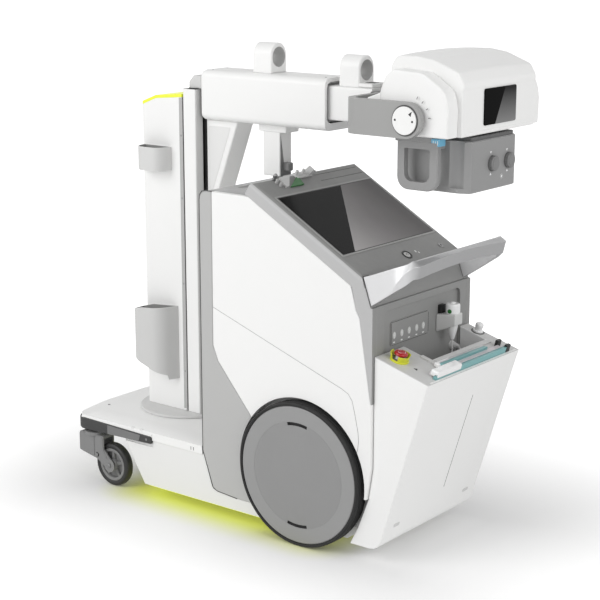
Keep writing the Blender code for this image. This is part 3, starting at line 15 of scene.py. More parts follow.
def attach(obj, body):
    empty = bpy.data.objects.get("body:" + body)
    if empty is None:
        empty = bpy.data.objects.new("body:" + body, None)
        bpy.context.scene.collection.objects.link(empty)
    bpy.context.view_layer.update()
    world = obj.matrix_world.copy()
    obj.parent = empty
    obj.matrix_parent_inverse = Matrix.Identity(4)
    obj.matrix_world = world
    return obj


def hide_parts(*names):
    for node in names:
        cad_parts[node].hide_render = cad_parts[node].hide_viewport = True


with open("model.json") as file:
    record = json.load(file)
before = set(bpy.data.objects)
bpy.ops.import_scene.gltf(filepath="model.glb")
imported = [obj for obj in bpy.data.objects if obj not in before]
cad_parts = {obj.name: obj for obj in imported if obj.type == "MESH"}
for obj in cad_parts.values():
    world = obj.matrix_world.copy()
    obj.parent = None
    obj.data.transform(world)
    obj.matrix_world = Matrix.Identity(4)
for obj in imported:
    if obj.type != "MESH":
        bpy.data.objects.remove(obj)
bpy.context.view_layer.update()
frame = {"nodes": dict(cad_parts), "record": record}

# Millimetres to Blender's metres: shapes are drawn in millimetres and scaled when they are finished
MM = 0.001

# Camera, in metres and degrees
CAMERA_PLACE = (3.000, -3.774, 1.841)
CAMERA_AZIMUTH = 38.12
CAMERA_ELEVATION = 13.47
CAMERA_LENS = 93.14

# Light: the power of the two soft boxes in watts, and the even light from all round
KEY_POWER = 120
FILL_POWER = 50
ROOM_LIGHT = 0.49
# How far the lit strip's painted glow reaches on the floor, and how far the machine's shadow reaches, in
# metres
GLOW_REACH = 0.19
SHADOW_REACH = 1.2
# The skirt's and the machine's footprint: middle and half size, in metres
SKIRT_BOX = ((-0.10, 0, 0), (0.36, 0.195, 1.0))
MACHINE_BOX = ((-0.02, 0, 0), (0.62, 0.27, 1.0))

# Wear and painted highlight: noise scales per metre, for patches about 140 mm and 26 mm wide, and the edge
# band in metres
PATCH_SCALE = 7.0
RUB_SCALE = 38.0
WORN_AND_HIGHLIT_EDGE = 0.0022

# Places on the solid model that the pieces here sit on
BODY_FRONT_X = -150
SIDE_Y = 262
AXLE_X = 245
WHEEL_RADIUS = 227.5
WHEEL_INNER_Y = 230
CONSOLE_BACK = (57, 0, 1107)
CONSOLE_SLOPE = 0.572
RIM_BACK = (507, 0, 641)
BIN_FOOT = (530, 0, 46)
BIN_LIP = (696, 0, 587)
RIM_SLOPE = (RIM_BACK[2] - BIN_LIP[2]) / (BIN_LIP[0] - RIM_BACK[0])
BIN_Y = 252
RECESS_X = 497
PLATE_X = 500
ARM_Z = 1331
PIVOT_X = 616
FORK_TOP_Z = 1381
PIN_FACE_Y = 279.2
CAP_Y = 251.7
COLLIMATOR_FLANK = 158
COLLIMATOR_FLOOR_Z = 1120
COLLIMATOR_X = 737
COLLIMATOR_TOP_Z = 1266
KNOB_Z = 1195
KNOB_RIBS = 24
CASTER_Y = 234
CASTER_WHEEL_X = -575
CASTER_RADIUS = 75
CHEEK_Y = 27.5
BUMPER_Y = 268
NOSE_X = -754
DECK_TOP_Z = 252
COLUMN_Y = 80
COVER_FRONT_X = -565
SLEEVE_REAR_X = 188
HANDLE_X = 649
HANDLE_Y = 258
HANDLE_BEND = 36
SWITCH_X = 537
SWITCH_Y = 118
CORD_RADIUS = 2.5

X = Vector((1, 0, 0))
Y = Vector((0, 1, 0))
Z = Vector((0, 0, 1))
SIDES = (("left", 1), ("right", -1))


def colour(text):
    """An sRGB hex colour as linear RGBA."""
    channels = [int(text[place:place + 2], 16) / 255 for place in (1, 3, 5)]
    return (*(c / 12.92 if c <= 0.04045 else ((c + 0.055) / 1.055) ** 2.4 for c in channels), 1.0)


def shade(text, factor):
    """A colour made lighter or darker."""
    return (*(min(1.0, c * factor) for c in colour(text)[:3]), 1.0)


def add(tree, kind, settings=None, **links):
    """Add a node, set its properties and sockets, and link sockets that are given an output."""
    node = tree.nodes.new("ShaderNode" + kind)
    for name, value in (settings or {}).items():
        setattr(node, name, value)
    for name, value in links.items():
        key = int(name[1:]) if name[0] == "_" and name[1:].isdigit() else name.replace("_", " ")
        socket = node.inputs[key]
        if isinstance(value, bpy.types.NodeSocket):
            tree.links.new(value, socket)
        else:
            socket.default_value = value
    return node


def new_material(name):
    """An empty material with its Principled shader and object coordinates."""
    material = bpy.data.materials.new(name)
    material.use_nodes = True
    tree = material.node_tree
    place = add(tree, "TexCoord").outputs["Object"]
    return material, tree, tree.nodes["Principled BSDF"], place


def uneven_gloss(tree, shader, place, scale, detail, low, high):
    """Roughness that wanders between two values, as where hands and cloths have rubbed."""
    rub = add(tree, "TexNoise", Vector=place, Scale=scale, **detail)
    level = add(tree, "MapRange", _0=rub.outputs["Fac"], _1=0.3, _2=0.7, _3=low, _4=high)
    tree.links.new(level.outputs[0], shader.inputs["Roughness"])


def surface(name, base, roughness, grain_mm, depth_mm, metallic=0.0, mottle=0.04, coat=0.0, worn=0.08,
            edge=1.12, gloss=0.5):
    """A painted, moulded or turned surface: its colour wanders a little, its edges are drawn lighter or
    darker, as wear and on some finishes as a painted highlight, its gloss is uneven, and a fine grain of the
    given size and depth covers it."""
    material, tree, shader, place = new_material(name)
    cloud = add(tree, "TexNoise", Vector=place, Scale=PATCH_SCALE, Detail=4.0, Roughness=0.6)
    tint = add(tree, "Mix", {"data_type": "RGBA"}, _0=cloud.outputs["Fac"], _6=shade(base, 1 - mottle),
        _7=shade(base, 1 + mottle))
    bent = add(tree, "Bevel", {"samples": 4}, Radius=WORN_AND_HIGHLIT_EDGE)
    flat = add(tree, "NewGeometry")
    match = add(tree, "VectorMath", {"operation": "DOT_PRODUCT"}, _0=bent.outputs[0],
        _1=flat.outputs["Normal"])
    rim = add(tree, "MapRange", _0=match.outputs["Value"], _1=0.995, _2=0.90, _3=0.0, _4=0.75)
    worn_and_highlit_edge = add(tree, "Mix", {"data_type": "RGBA"}, _0=rim.outputs[0], _6=tint.outputs[2],
        _7=shade(base, edge))
    tree.links.new(worn_and_highlit_edge.outputs[2], shader.inputs["Base Color"])
    uneven_gloss(tree, shader, place, RUB_SCALE, {"Detail": 5.0, "Roughness": 0.7}, roughness - worn,
        roughness + worn)
    grain = add(tree, "TexNoise", Vector=place, Scale=1000.0 / grain_mm, Detail=2.0)
    bump = add(tree, "Bump", Strength=1.0, Distance=depth_mm / 1000, Height=grain.outputs["Fac"])
    tree.links.new(bump.outputs["Normal"], shader.inputs["Normal"])
    shader.inputs["Metallic"].default_value = metallic
    shader.inputs["Coat Weight"].default_value = coat
    shader.inputs["Specular IOR Level"].default_value = gloss
    return material


def make_materials():
    """The machine's finishes, each named for what the real one is and how it was made, save one named for
    painted shade.
    """
    # A pixel of the render is about 3 mm. A paint's orange peel is 2 to 3 mm wide in life and is drawn so.
    # The grain of mouldings (0.2 mm), castings (0.5 mm) and rubber (0.2 mm), turning marks (0.05 mm) and the
    # print's screen (0.1 mm) are too fine to show, so they are drawn coarser, about 1 to 2 mm wide.
    # A row says: kind, name, colour, roughness, grain and depth of the grain in mm, and what else differs.
    table = (
        # Powder coat: satin white with broad soft highlights and the faintest orange peel
        ("white", "powder_coated_steel_white", "#f3f3f2", 0.42, 2.6, 0.008, {"mottle": 0.006, "edge": 1.02}),
        # The bin's thick moulding: the same white, more matt, so that its broad face looks even
        ("shell", "moulded_abs_white", "#f2f2f1", 0.46, 3.2, 0.010, {"mottle": 0.006, "edge": 1.02}),
        # Trim strips: a shade under white, which sets them off without a line
        ("trim", "moulded_abs_off_white", "#e6e6e5", 0.45, 2.0, 0.010, {"mottle": 0.010, "edge": 1.03}),
        # Light grey plastic: matt and finely grained, with no clear reflection
        ("light", "moulded_abs_light_grey", "#d4d4d3", 0.50, 1.8, 0.015, {"mottle": 0.015}),
        # The bin's tray: the same plastic a touch darker, as in the shade of its rim
        ("tray", "moulded_abs_tray_grey", "#d2d2d1", 0.50, 1.8, 0.015, {"mottle": 0.012}),
        # Corner covers: satin silver grey that darkens at the edges, where the coat is thin
        ("accent", "painted_steel_silver_grey", "#b9b9b8", 0.45, 2.2, 0.008,
         {"mottle": 0.012, "edge": 0.86}),
        # The column's channel and small fittings: pale grey, smooth, dull
        ("column_grey", "moulded_nylon_pale_grey", "#cfcfce", 0.48, 2.0, 0.010, {"mottle": 0.012}),
        # Wheel discs: mid grey with the slight unevenness of a casting under its coat
        ("disc", "painted_cast_aluminium_grey", "#969696", 0.45, 2.4, 0.014, {"mottle": 0.02}),
        # Their sunk middle: a little darker and smoother
        ("disc_middle", "painted_cast_aluminium_middle", "#8f8f8f", 0.42, 2.4, 0.014, {"mottle": 0.03}),
        # Casters: the rough, cloudy grey of a casting that was only blasted
        ("caster", "cast_zinc_blasted", "#808080", 0.50, 1.6, 0.030, {"mottle": 0.05}),
        # The arm's fork: even, slightly warm satin grey
        ("fork", "painted_aluminium_warm_grey", "#9f9f9e", 0.42, 2.4, 0.012, {"mottle": 0.012}),
        # Collimator: glossier grey, with a painted highlight that makes its corners lighter
        ("collimator", "painted_aluminium_collimator_grey", "#949494", 0.38, 2.4, 0.012,
         {"mottle": 0.015, "edge": 1.25}),
        # Plates and rings on it: dark, dull plastic that reads as a gap
        ("collimator_dark", "moulded_nylon_dark_grey", "#5d5d5d", 0.50, 2.0, 0.015, {"mottle": 0.03}),
        # Console top: dark grey with a leathery grain, which keeps reflections off the screen's edge
        ("bezel", "moulded_abs_console_grey", "#8b8b8a", 0.50, 2.2, 0.020, {"mottle": 0.015}),
        # Console edge: lighter and smoother, with a painted highlight a little brighter at its bend
        ("band", "moulded_abs_console_edge", "#bababa", 0.45, 2.2, 0.012, {"mottle": 0.012, "edge": 1.05}),
        # Recessed panel: mid grey, matt, with a painted highlight that makes its edges lighter
        ("recess", "moulded_abs_recess_grey", "#939392", 0.48, 2.2, 0.020, {"mottle": 0.02, "edge": 1.3}),
        # Raised frame round the screen: smoother than the console, so it draws a thin light line
        ("surround", "moulded_abs_screen_frame", "#9d9d9c", 0.40, 1.6, 0.008, {"mottle": 0.015}),
        # The gap and ridges beside it: near black, dull
        ("frame_dark", "moulded_abs_screen_gap", "#3d3d3d", 0.42, 1.6, 0.012, {"mottle": 0.03}),
        # Skirt: light grey white, matt, even
        ("skirt", "moulded_abs_skirt_white", "#e9e9e8", 0.48, 2.6, 0.012, {"mottle": 0.010, "edge": 1.02}),
        # Bumper: charcoal elastomer, dull and grained, with paler scuffed edges
        ("bumper", "moulded_elastomer_charcoal", "#3a3a3a", 0.62, 1.8, 0.040, {"mottle": 0.05, "edge": 1.5}),
        # Its inserts: harder grey elastomer with a weak sheen
        ("insert", "moulded_elastomer_grey", "#747474", 0.55, 1.8, 0.030, {"mottle": 0.04}),
        # Black plastic: deep and satin, with a painted highlight that makes its edges grey
        ("black", "moulded_nylon_black", "#131313", 0.45, 1.6, 0.020, {"mottle": 0.05, "edge": 2.0}),
        # Dark joints and slots, and painted shade in hollows: flat dark grey without highlights
        ("shadow", "dark_joint_and_painted_shade_grey", "#4f4f4f", 0.70, 1.2, 0.020, {"mottle": 0.05}),
        # Parting lines: a pale grey bead that only just shows on white
        ("seam", "silicone_sealant_bead", "#b4b4b3", 0.60, 1.2, 0.010, {"mottle": 0.02, "edge": 1.0}),
        # Drive tyres: black, dull, with dusty grey patches and worn edges
        ("rubber", "moulded_rubber_black", "#161616", 0.66, 1.6, 0.060, {"mottle": 0.12, "edge": 1.8}),
        # Caster tyres: smoother and a little shinier than rubber
        ("soft_rubber", "cast_polyurethane_black", "#232323", 0.50, 1.8, 0.040, {"mottle": 0.08}),
        # Axle: bright metal with sharp, streaked highlights
        ("steel", "turned_steel", "#b8b8b8", 0.30, 0.9, 0.012, {"metallic": 1.0, "mottle": 0.04}),
        # Screws: greyer metal, softly blurred reflections
        ("dull_steel", "zinc_plated_steel", "#8e8e8e", 0.42, 0.9, 0.012, {"metallic": 0.9, "mottle": 0.06}),
        # The side pocket: pale grey, slightly translucent looking, even
        ("pocket", "moulded_polypropylene_pale_grey", "#cdcdcc", 0.48, 2.0, 0.012, {"mottle": 0.012}),
        # Detector shells: calm teal with a soft gloss
        ("teal", "moulded_polycarbonate_teal", "#7fb3b4", 0.38, 2.0, 0.010, {"mottle": 0.015}),
        # Their frames: pale and faintly pink beside the teal
        ("pale", "anodised_aluminium_pale", "#d9d3d6", 0.36, 2.0, 0.008, {"mottle": 0.012}),
        # The stop button's guard: strong yellow, fairly glossy
        ("yellow", "moulded_nylon_safety_yellow", "#d9dc35", 0.36, 2.0, 0.012, {"mottle": 0.02}),
        # The stop button: saturated red under a clear gloss
        ("red", "moulded_nylon_stop_red", "#b00712", 0.28, 2.0, 0.006, {"mottle": 0.03, "coat": 0.3}),
        # Small signs: deep green plastic and light blue film, both half glossy
        ("green", "moulded_abs_green", "#1a6a27", 0.35, 2.0, 0.008, {"mottle": 0.04}),
        ("blue", "printed_vinyl_film_blue", "#78bcdc", 0.35, 2.0, 0.006, {"mottle": 0.02}),
        # Screen printing ink: flat marks in dark, white and grey
        ("ink", "screen_printed_ink_dark", "#2a2a2a", 0.50, 1.5, 0.004, {"mottle": 0.03}),
        ("pale_ink", "screen_printed_ink_white", "#f2f2f2", 0.45, 1.5, 0.004, {"mottle": 0.01, "edge": 1.0}),
        ("grey_ink", "screen_printed_ink_grey", "#8a8a8a", 0.45, 1.5, 0.004, {"mottle": 0.01, "edge": 1.0}),
        # Sliders, knob and hand switch: polished white with small sharp highlights
        ("gloss_white", "polished_abs_white", "#f4f4f4", 0.16, 2.0, 0.004,
         {"mottle": 0.008, "coat": 0.5, "worn": 0.04, "edge": 1.02}),
    )
    made = {kind: surface(name, *values, **more) for kind, name, *values, more in table}
    # Screens: smooth glass that hardly mirrors the room, with a painted reflection in two fields
    made["console_screen"] = glass_with_painted_reflection("float_glass_console_screen", (0.1451, 0.0703), (0.3812, -0.1759), 0, 1,
                                    "#181818", "#b8b5b5", "#6a6868", (-0.17, 0.22))
    made["head_screen"] = glass_with_painted_reflection("float_glass_head_screen", (0.0243, 1.4107), (-0.0257, 1.3122), 1, 2,
                                 "#050505", "#8a8a8a", "#2b2b2b", (1.309, 1.411))
    # The push handle: silver paint with a flake grain and a painted sheen on faces towards the sides
    made["silver"] = painted_sheen("painted_steel_metallic_silver", "#a8a8a9", "#dededf")
    # Lit diffusers: frosted yellow-green, a little brighter over each lamp
    made["glow"] = light_strip("frosted_polycarbonate_lit", "#dce84c", "#dce84c", 0.9)
    made["soft_glow"] = light_strip("frosted_polycarbonate_column_lit", "#dfe83a", "#d6de40", 0.32)
    return made


def glass_with_painted_reflection(name, start, end, across, along, dark, bright, dim, span):
    """Glass with a painted reflection: a dark field and a lighter one, parted by a slanting line from start
    to end in object coordinates; the lighter field fades along the second of the two axes named."""
    material, tree, shader, place = new_material(name)
    axes = add(tree, "SeparateXYZ", _0=place)
    first = axes.outputs[across]
    second = axes.outputs[along]
    slope = (end[1] - start[1]) / (end[0] - start[0])
    fall = add(tree, "Math", {"operation": "MULTIPLY_ADD"}, _0=first, _1=-slope,
        _2=slope * start[0] - start[1])
    beyond = add(tree, "Math", {"operation": "ADD"}, _0=second, _1=fall.outputs[0])
    flip = 1 if across == 0 else -1
    part = add(tree, "MapRange", _0=beyond.outputs[0], _1=-0.0006 * flip, _2=0.0006 * flip)
    fade = add(tree, "MapRange", _0=second, _1=span[0], _2=span[1])
    soft = add(tree, "TexNoise", Vector=place, Scale=9.0, Detail=2.0)
    cloudy = add(tree, "Math", {"operation": "MULTIPLY_ADD"}, _0=soft.outputs["Fac"], _1=0.12,
        _2=fade.outputs[0])
    # The painted reflection: a dark field beside a lighter, fading one
    painted_reflection_field = add(tree, "Mix", {"data_type": "RGBA"}, _0=cloudy.outputs[0], _6=colour(bright), _7=colour(dim))
    both = add(tree, "Mix", {"data_type": "RGBA"}, _0=part.outputs[0], _6=colour(dark), _7=painted_reflection_field.outputs[2])
    tree.links.new(both.outputs[2], shader.inputs["Base Color"])
    uneven_gloss(tree, shader, place, 22.0, {"Detail": 4.0}, 0.12, 0.20)
    shader.inputs["Specular IOR Level"].default_value = 0.05
    return material


def painted_sheen(name, dim, bright):
    """Metallic paint with a flake grain, and a painted sheen that makes the faces towards the machine's
    sides lighter.
    """
    material, tree, shader, place = new_material(name)
    facing = add(tree, "NewGeometry")
    axes = add(tree, "SeparateXYZ", _0=facing.outputs["Normal"])
    # Painted sheen: the base colour grows lighter as the face turns towards a side
    side = add(tree, "Math", {"operation": "MULTIPLY"}, _0=axes.outputs[1], _1=axes.outputs[1])
    flake = add(tree, "TexNoise", Vector=place, Scale=600.0, Detail=2.0)
    share = add(tree, "Math", {"operation": "MULTIPLY_ADD"}, _0=flake.outputs["Fac"], _1=0.10,
        _2=side.outputs[0])
    tint = add(tree, "Mix", {"data_type": "RGBA"}, _0=share.outputs[0], _6=colour(dim), _7=colour(bright))
    tree.links.new(tint.outputs[2], shader.inputs["Base Color"])
    uneven_gloss(tree, shader, place, 30.0, {"Detail": 4.0}, 0.30, 0.40)
    bump = add(tree, "Bump", Strength=1.0, Distance=0.000001, Height=flake.outputs["Fac"])
    tree.links.new(bump.outputs["Normal"], shader.inputs["Normal"])
    shader.inputs["Metallic"].default_value = 0.35
    shader.inputs["Coat Weight"].default_value = 0.2
    return material


def light_strip(name, glow, base, strength):
    """A frosted polycarbonate diffuser over small lamps, which light it a little unevenly."""
    material, tree, shader, place = new_material(name)
    cells = add(tree, "TexNoise", Vector=place, Scale=60.0, Detail=1.0)
    level = add(tree, "MapRange", _0=cells.outputs["Fac"], _1=0.2, _2=0.8, _3=strength * 0.85,
        _4=strength * 1.15)
    tree.links.new(level.outputs[0], shader.inputs["Emission Strength"])
    shader.inputs["Base Color"].default_value = colour(base)
    shader.inputs["Emission Color"].default_value = colour(glow)
    shader.inputs["Roughness"].default_value = 0.35
    return material


def as_object(name, shape, scale=1.0):
    """A shape as an object of the scene."""
    bmesh.ops.scale(shape, vec=(scale, scale, scale), verts=shape.verts)
    mesh = bpy.data.meshes.new(name)
    shape.to_mesh(mesh)
    shape.free()
    made = bpy.data.objects.new(name, mesh)
    bpy.context.collection.objects.link(made)
    return made


def set_camera():
    """The photo's camera: its place, direction and lens."""
    camera = bpy.data.cameras.new("camera")
    camera.lens = CAMERA_LENS
    camera.sensor_width = 36
    holder = bpy.data.objects.new("camera", camera)
    holder.location = CAMERA_PLACE
    holder.rotation_euler = (math.radians(90 - CAMERA_ELEVATION), 0, math.radians(CAMERA_AZIMUTH))
    bpy.context.collection.objects.link(holder)
    bpy.context.scene.camera = holder


def lamp(name, place, target, size, power):
    """A soft box that looks at a point."""
    light = bpy.data.lights.new(name, "AREA")
    light.shape = "SQUARE"
    light.size = size
    light.energy = power
    holder = bpy.data.objects.new(name, light)
    holder.location = place
    holder.rotation_euler = (Vector(target) - Vector(place)).to_track_quat("-Z", "Y").to_euler()
    bpy.context.collection.objects.link(holder)


def set_studio():
    """A pale floor, two soft boxes and even light from a room that looks white."""
    bpy.context.scene.view_settings.view_transform = "Standard"
    world = bpy.data.worlds.new("studio")
    bpy.context.scene.world = world
    world.use_nodes = True
    tree = world.node_tree
    shader = tree.nodes["Background"]
    path = add(tree, "LightPath")
    seen = add(tree, "Math", {"operation": "MAXIMUM"}, _0=path.outputs["Is Camera Ray"],
        _1=path.outputs["Is Glossy Ray"])
    seen = add(tree, "Math", {"operation": "MAXIMUM"}, _0=seen.outputs[0],
        _1=path.outputs["Is Transmission Ray"])
    level = add(tree, "MapRange", _0=seen.outputs[0], _3=ROOM_LIGHT, _4=1.0)
    tree.links.new(level.outputs[0], shader.inputs["Strength"])
    shader.inputs["Color"].default_value = (1, 1, 1, 1)
    lamp("key", (-1.8, -4.2, 3.0), (0, 0, 0.8), 3.6, KEY_POWER)
    lamp("fill", (4.2, -0.6, 2.4), (0, 0, 0.8), 2.8, FILL_POWER)
    shape = bmesh.new()
    bmesh.ops.create_grid(shape, x_segments=1, y_segments=1, size=70)
    floor = as_object("floor", shape)
    material, tree, ground, place = new_material("studio_floor")
    ground.inputs["Roughness"].default_value = 0.9
    ground.inputs["Specular IOR Level"].default_value = 0.0
    ground.inputs["Emission Color"].default_value = (1, 1, 1, 1)

    def distance(middle, half):
        """How far the floor's point lies from a box that stands on it."""
        offset = add(tree, "VectorMath", {"operation": "SUBTRACT"}, _0=place, _1=middle)
        reach = add(tree, "VectorMath", {"operation": "ABSOLUTE"}, _0=offset.outputs[0])
        past = add(tree, "VectorMath", {"operation": "SUBTRACT"}, _0=reach.outputs[0], _1=half)
        past = add(tree, "VectorMath", {"operation": "MAXIMUM"}, _0=past.outputs[0], _1=(0, 0, 0))
        return add(tree, "VectorMath", {"operation": "LENGTH"}, _0=past.outputs[0]).outputs["Value"]

    # Painted glow: the floor's colour turns yellow-green beside the lit strip under the skirt
    glow = add(tree, "MapRange", {"interpolation_type": "SMOOTHSTEP"},
        _0=distance(*SKIRT_BOX), _1=0.0, _2=GLOW_REACH, _3=0.90, _4=0.0)
    painted_glow_colour = add(tree, "Mix", {"data_type": "RGBA"}, _0=glow.outputs[0], _6=colour("#e6e6e6"),
        _7=(0.80, 0.84, 0.10, 1))
    tree.links.new(painted_glow_colour.outputs[2], ground.inputs["Base Color"])
    # Near the machine the floor keeps its shadow; further away it is as white as the background
    lift = add(tree, "MapRange", _0=distance(*MACHINE_BOX), _1=0.0, _2=SHADOW_REACH, _3=0.12, _4=0.90)
    clear = add(tree, "Math", {"operation": "MULTIPLY_ADD"}, _0=glow.outputs[0], _1=-0.9, _2=1.0)
    lift = add(tree, "Math", {"operation": "MULTIPLY"}, _0=clear.outputs[0], _1=lift.outputs[0])
    path = add(tree, "LightPath")
    seen = add(tree, "Mix", {"data_type": "FLOAT"}, _0=path.outputs["Is Camera Ray"], _2=0.16,
        _3=lift.outputs[0])
    tree.links.new(seen.outputs[0], ground.inputs["Emission Strength"])
    floor.data.materials.append(material)


def plane_at(origin, across, up):
    """A plane's matrix from its origin, its direction across and its direction up."""
    across = Vector(across).normalized()
    up = Vector(up).normalized()
    out = across.cross(up)
    return Matrix([(*row,) for row in zip(across, up, out, origin)] + [(0, 0, 0, 1)])


def placed(shape, matrix):
    """Move a shape from its own plane to its place."""
    bmesh.ops.transform(shape, matrix=matrix, verts=shape.verts)
    return shape


def shift(u, v, w=0):
    """A move without a turn."""
    return Matrix.Translation((u, v, w))


def gathered(*shapes):
    """Several shapes as one."""
    whole = bmesh.new()
    for shape in shapes:
        mesh = bpy.data.meshes.new("part")
        shape.to_mesh(mesh)
        shape.free()
        whole.from_mesh(mesh)
        bpy.data.meshes.remove(mesh)
    return whole


def plate(corners, depth, steps=4, back=0.0):
    """A plate on the plane z = 0 from its corners (u, v) or (u, v, rounding)."""
    shape = bmesh.new()
    points = [shape.verts.new((corner[0], corner[1], -back)) for corner in corners]
    shape.faces.new(points)
    for point, corner in zip(points, corners):
        if len(corner) > 2:
            bmesh.ops.bevel(shape, geom=[point], offset=corner[2], segments=steps, profile=0.5,
                affect="VERTICES", material=-1)
    grown = bmesh.ops.extrude_face_region(shape, geom=shape.faces[:])
    top = [item for item in grown["geom"] if isinstance(item, bmesh.types.BMVert)]
    bmesh.ops.translate(shape, verts=top, vec=(0, 0, depth + back))
    return shape


def pad(u, v, width, height, depth, rounding=0.0, back=0.0, steps=4):
    """A rectangular plate round a middle point."""
    corner = (rounding,) if rounding else ()
    a, b, c, d = u - width / 2, u + width / 2, v - height / 2, v + height / 2
    return plate([(a, c, *corner), (b, c, *corner), (b, d, *corner), (a, d, *corner)], depth, steps, back)


def bar(low, high, edge=0.0, steps=2):
    """A box between two corners, with rounded edges."""
    shape = bmesh.new()
    middle = [(a + b) / 2 for a, b in zip(low, high)]
    size = [b - a for a, b in zip(low, high)]
    bmesh.ops.create_cube(shape, size=1.0, matrix=shift(*middle) @ Matrix.Diagonal((*size, 1.0)))
    if edge:
        bmesh.ops.bevel(shape, geom=shape.edges[:], offset=edge, segments=steps, profile=0.5,
            affect="EDGES", clamp_overlap=True, material=-1)
    return shape


def ring_of_edges(shape, points):
    """The closed ring of edges through a row of points."""
    return [shape.edges.new(ends) for ends in zip(points, points[1:] + points[:1])]


def turned(profile, segments=48, angle=math.tau, start=0.0):
    """Spin a closed profile of (radius, height) round the z axis, wholly or through an angle."""
    shape = bmesh.new()
    points = [shape.verts.new((radius, 0.0, height)) for radius, height in profile]
    rims = ring_of_edges(shape, points)
    if angle < math.tau:
        shape.faces.new(points)
        bmesh.ops.rotate(shape, verts=points, cent=(0, 0, 0), matrix=Matrix.Rotation(start, 3, "Z"))
        bmesh.ops.spin(shape, geom=shape.faces[:], cent=(0, 0, 0), axis=(0, 0, 1), angle=angle,
            steps=segments, use_merge=False)
    else:
        bmesh.ops.spin(shape, geom=points + rims, cent=(0, 0, 0), axis=(0, 0, 1), angle=angle,
            steps=segments, use_merge=True)
    bmesh.ops.remove_doubles(shape, verts=shape.verts, dist=0.001)
    loose = [rim for rim in shape.edges if not rim.link_faces]
    bmesh.ops.delete(shape, geom=loose, context="EDGES")
    return shape


def drum(u, v, radius, low, high, edge=0.0, segments=32):
    """A disc on the plane z = 0, with a rounded rim on its face."""
    edge = min(edge, (high - low) * 0.9)
    profile = [(0, low), (radius, low), (radius, high - edge)]
    if edge:
        profile += [(radius - edge * 0.3, high - edge * 0.3)]
    profile += [(radius - edge, high), (0, high)]
    return placed(turned(profile, segments), shift(u, v))


def screw(u, v, radius=3.5, high=1.2):
    """A countersunk screw's head with its hexagon socket."""
    rim = turned([(radius * 0.5, -1), (radius, -1), (radius, high * 0.6), (radius * 0.85, high),
        (radius * 0.5, high)], 20)
    well = turned([(0, -1), (radius * 0.5, -1), (radius * 0.5, high * 0.2), (0, high * 0.2)], 6)
    return placed(gathered(rim, well), shift(u, v))


def run_of(name, points, radius, resolution):
    """A round bar along a line of points, as a curve."""
    curve = bpy.data.curves.new(name, "CURVE")
    curve.dimensions = "3D"
    curve.bevel_depth = radius
    curve.bevel_resolution = resolution
    curve.use_fill_caps = True
    spline = curve.splines.new("POLY")
    spline.points.add(len(points) - 1)
    for point, place in zip(spline.points, points):
        point.co = (*place, 1)
    made = bpy.data.objects.new(name, curve)
    bpy.context.collection.objects.link(made)
    return made


def thread(points, radius, resolution=1):
    """A round bar along a line of points, as a shape."""
    made = run_of("thread", points, radius, resolution)
    mesh = bpy.data.meshes.new_from_object(made.evaluated_get(bpy.context.evaluated_depsgraph_get()))
    bpy.data.objects.remove(made)
    shape = bmesh.new()
    shape.from_mesh(mesh)
    bmesh.ops.remove_doubles(shape, verts=shape.verts, dist=0.001)
    bpy.data.meshes.remove(mesh)
    return shape


def lofted(rings):
    """A body drawn over a row of like cross-sections."""
    shape = bmesh.new()
    loops = []
    for ring in rings:
        loops.append(ring_of_edges(shape, [shape.verts.new(place) for place in ring]))
    for first, second in zip(loops, loops[1:]):
        bmesh.ops.bridge_loops(shape, edges=first + second)
    for loop in (loops[0], loops[-1]):
        bmesh.ops.contextual_create(shape, geom=loop)
    return shape


def mirrored(shape):
    """The same shape on the machine's left side."""
    bmesh.ops.scale(shape, vec=(1, -1, 1), verts=shape.verts)
    return shape


def body_of(node):
    """The body that a node rides on."""
    for body, nodes in frame["record"]["behaviour"]["bodies"].items():
        if node in nodes:
            return body
    raise KeyError(node)


def finished(made, kind, tones=()):
    """Give a piece its finish, and other finishes to the faces that a test picks out."""
    mesh = made.data
    mesh.materials.clear()
    mesh.materials.append(MATERIALS[kind])
    for number, (tone, test) in enumerate(tones, 1):
        mesh.materials.append(MATERIALS[tone])
        for face in mesh.polygons:
            if test(face.center / MM, face.normal):
                face.material_index = number


def rounded(made, edge):
    """Round a piece's edges."""
    if edge:
        soft = made.modifiers.new("edges", "BEVEL")
        soft.width = edge * MM
        soft.segments = 3
        soft.limit_method = "ANGLE"
        soft.angle_limit = math.radians(32)
        settle(made)


def smoothed(made):
    """Shade a piece smooth between its edges."""
    made.data.shade_smooth()
    made.data.set_sharp_from_angle(angle=math.radians(38))
    weigh = made.modifiers.new("weigh", "WEIGHTED_NORMAL")
    weigh.keep_sharp = True


def settle(made):
    """Apply a piece's modifiers."""
    bpy.context.view_layer.update()
    graph = bpy.context.evaluated_depsgraph_get()
    mesh = bpy.data.meshes.new_from_object(made.evaluated_get(graph))
    made.modifiers.clear()
    made.data = mesh


def carve(made, shape, tone=None):
    """Cut a shape out of a piece; the cut's walls get a finish of their own."""
    bmesh.ops.recalc_face_normals(shape, faces=shape.faces)
    cutter = as_object("cutter", shape, MM)
    if tone:
        cutter.data.materials.append(MATERIALS[tone])
    knife = made.modifiers.new("knife", "BOOLEAN")
    knife.solver = "EXACT"
    knife.operation = "DIFFERENCE"
    knife.object = cutter
    knife.material_mode = "TRANSFER" if tone else "INDEX"
    settle(made)
    bpy.data.objects.remove(cutter)


def keep(name, shape, kind, body="chassis", edge=0.0, swaps=(), tones=()):
    """Turn a shape into a piece that rides on a body."""
    bmesh.ops.recalc_face_normals(shape, faces=shape.faces)
    made = as_object(name, shape, MM)
    finished(made, kind, tones)
    rounded(made, edge)
    smoothed(made)
    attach(made, body)
    if swaps:
        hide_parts(*swaps)
    return made


def fit(name, plane, kind, *shapes, **more):
    """A piece from shapes that are drawn on a plane."""
    return keep(name, placed(gathered(*shapes), plane), kind, **more)


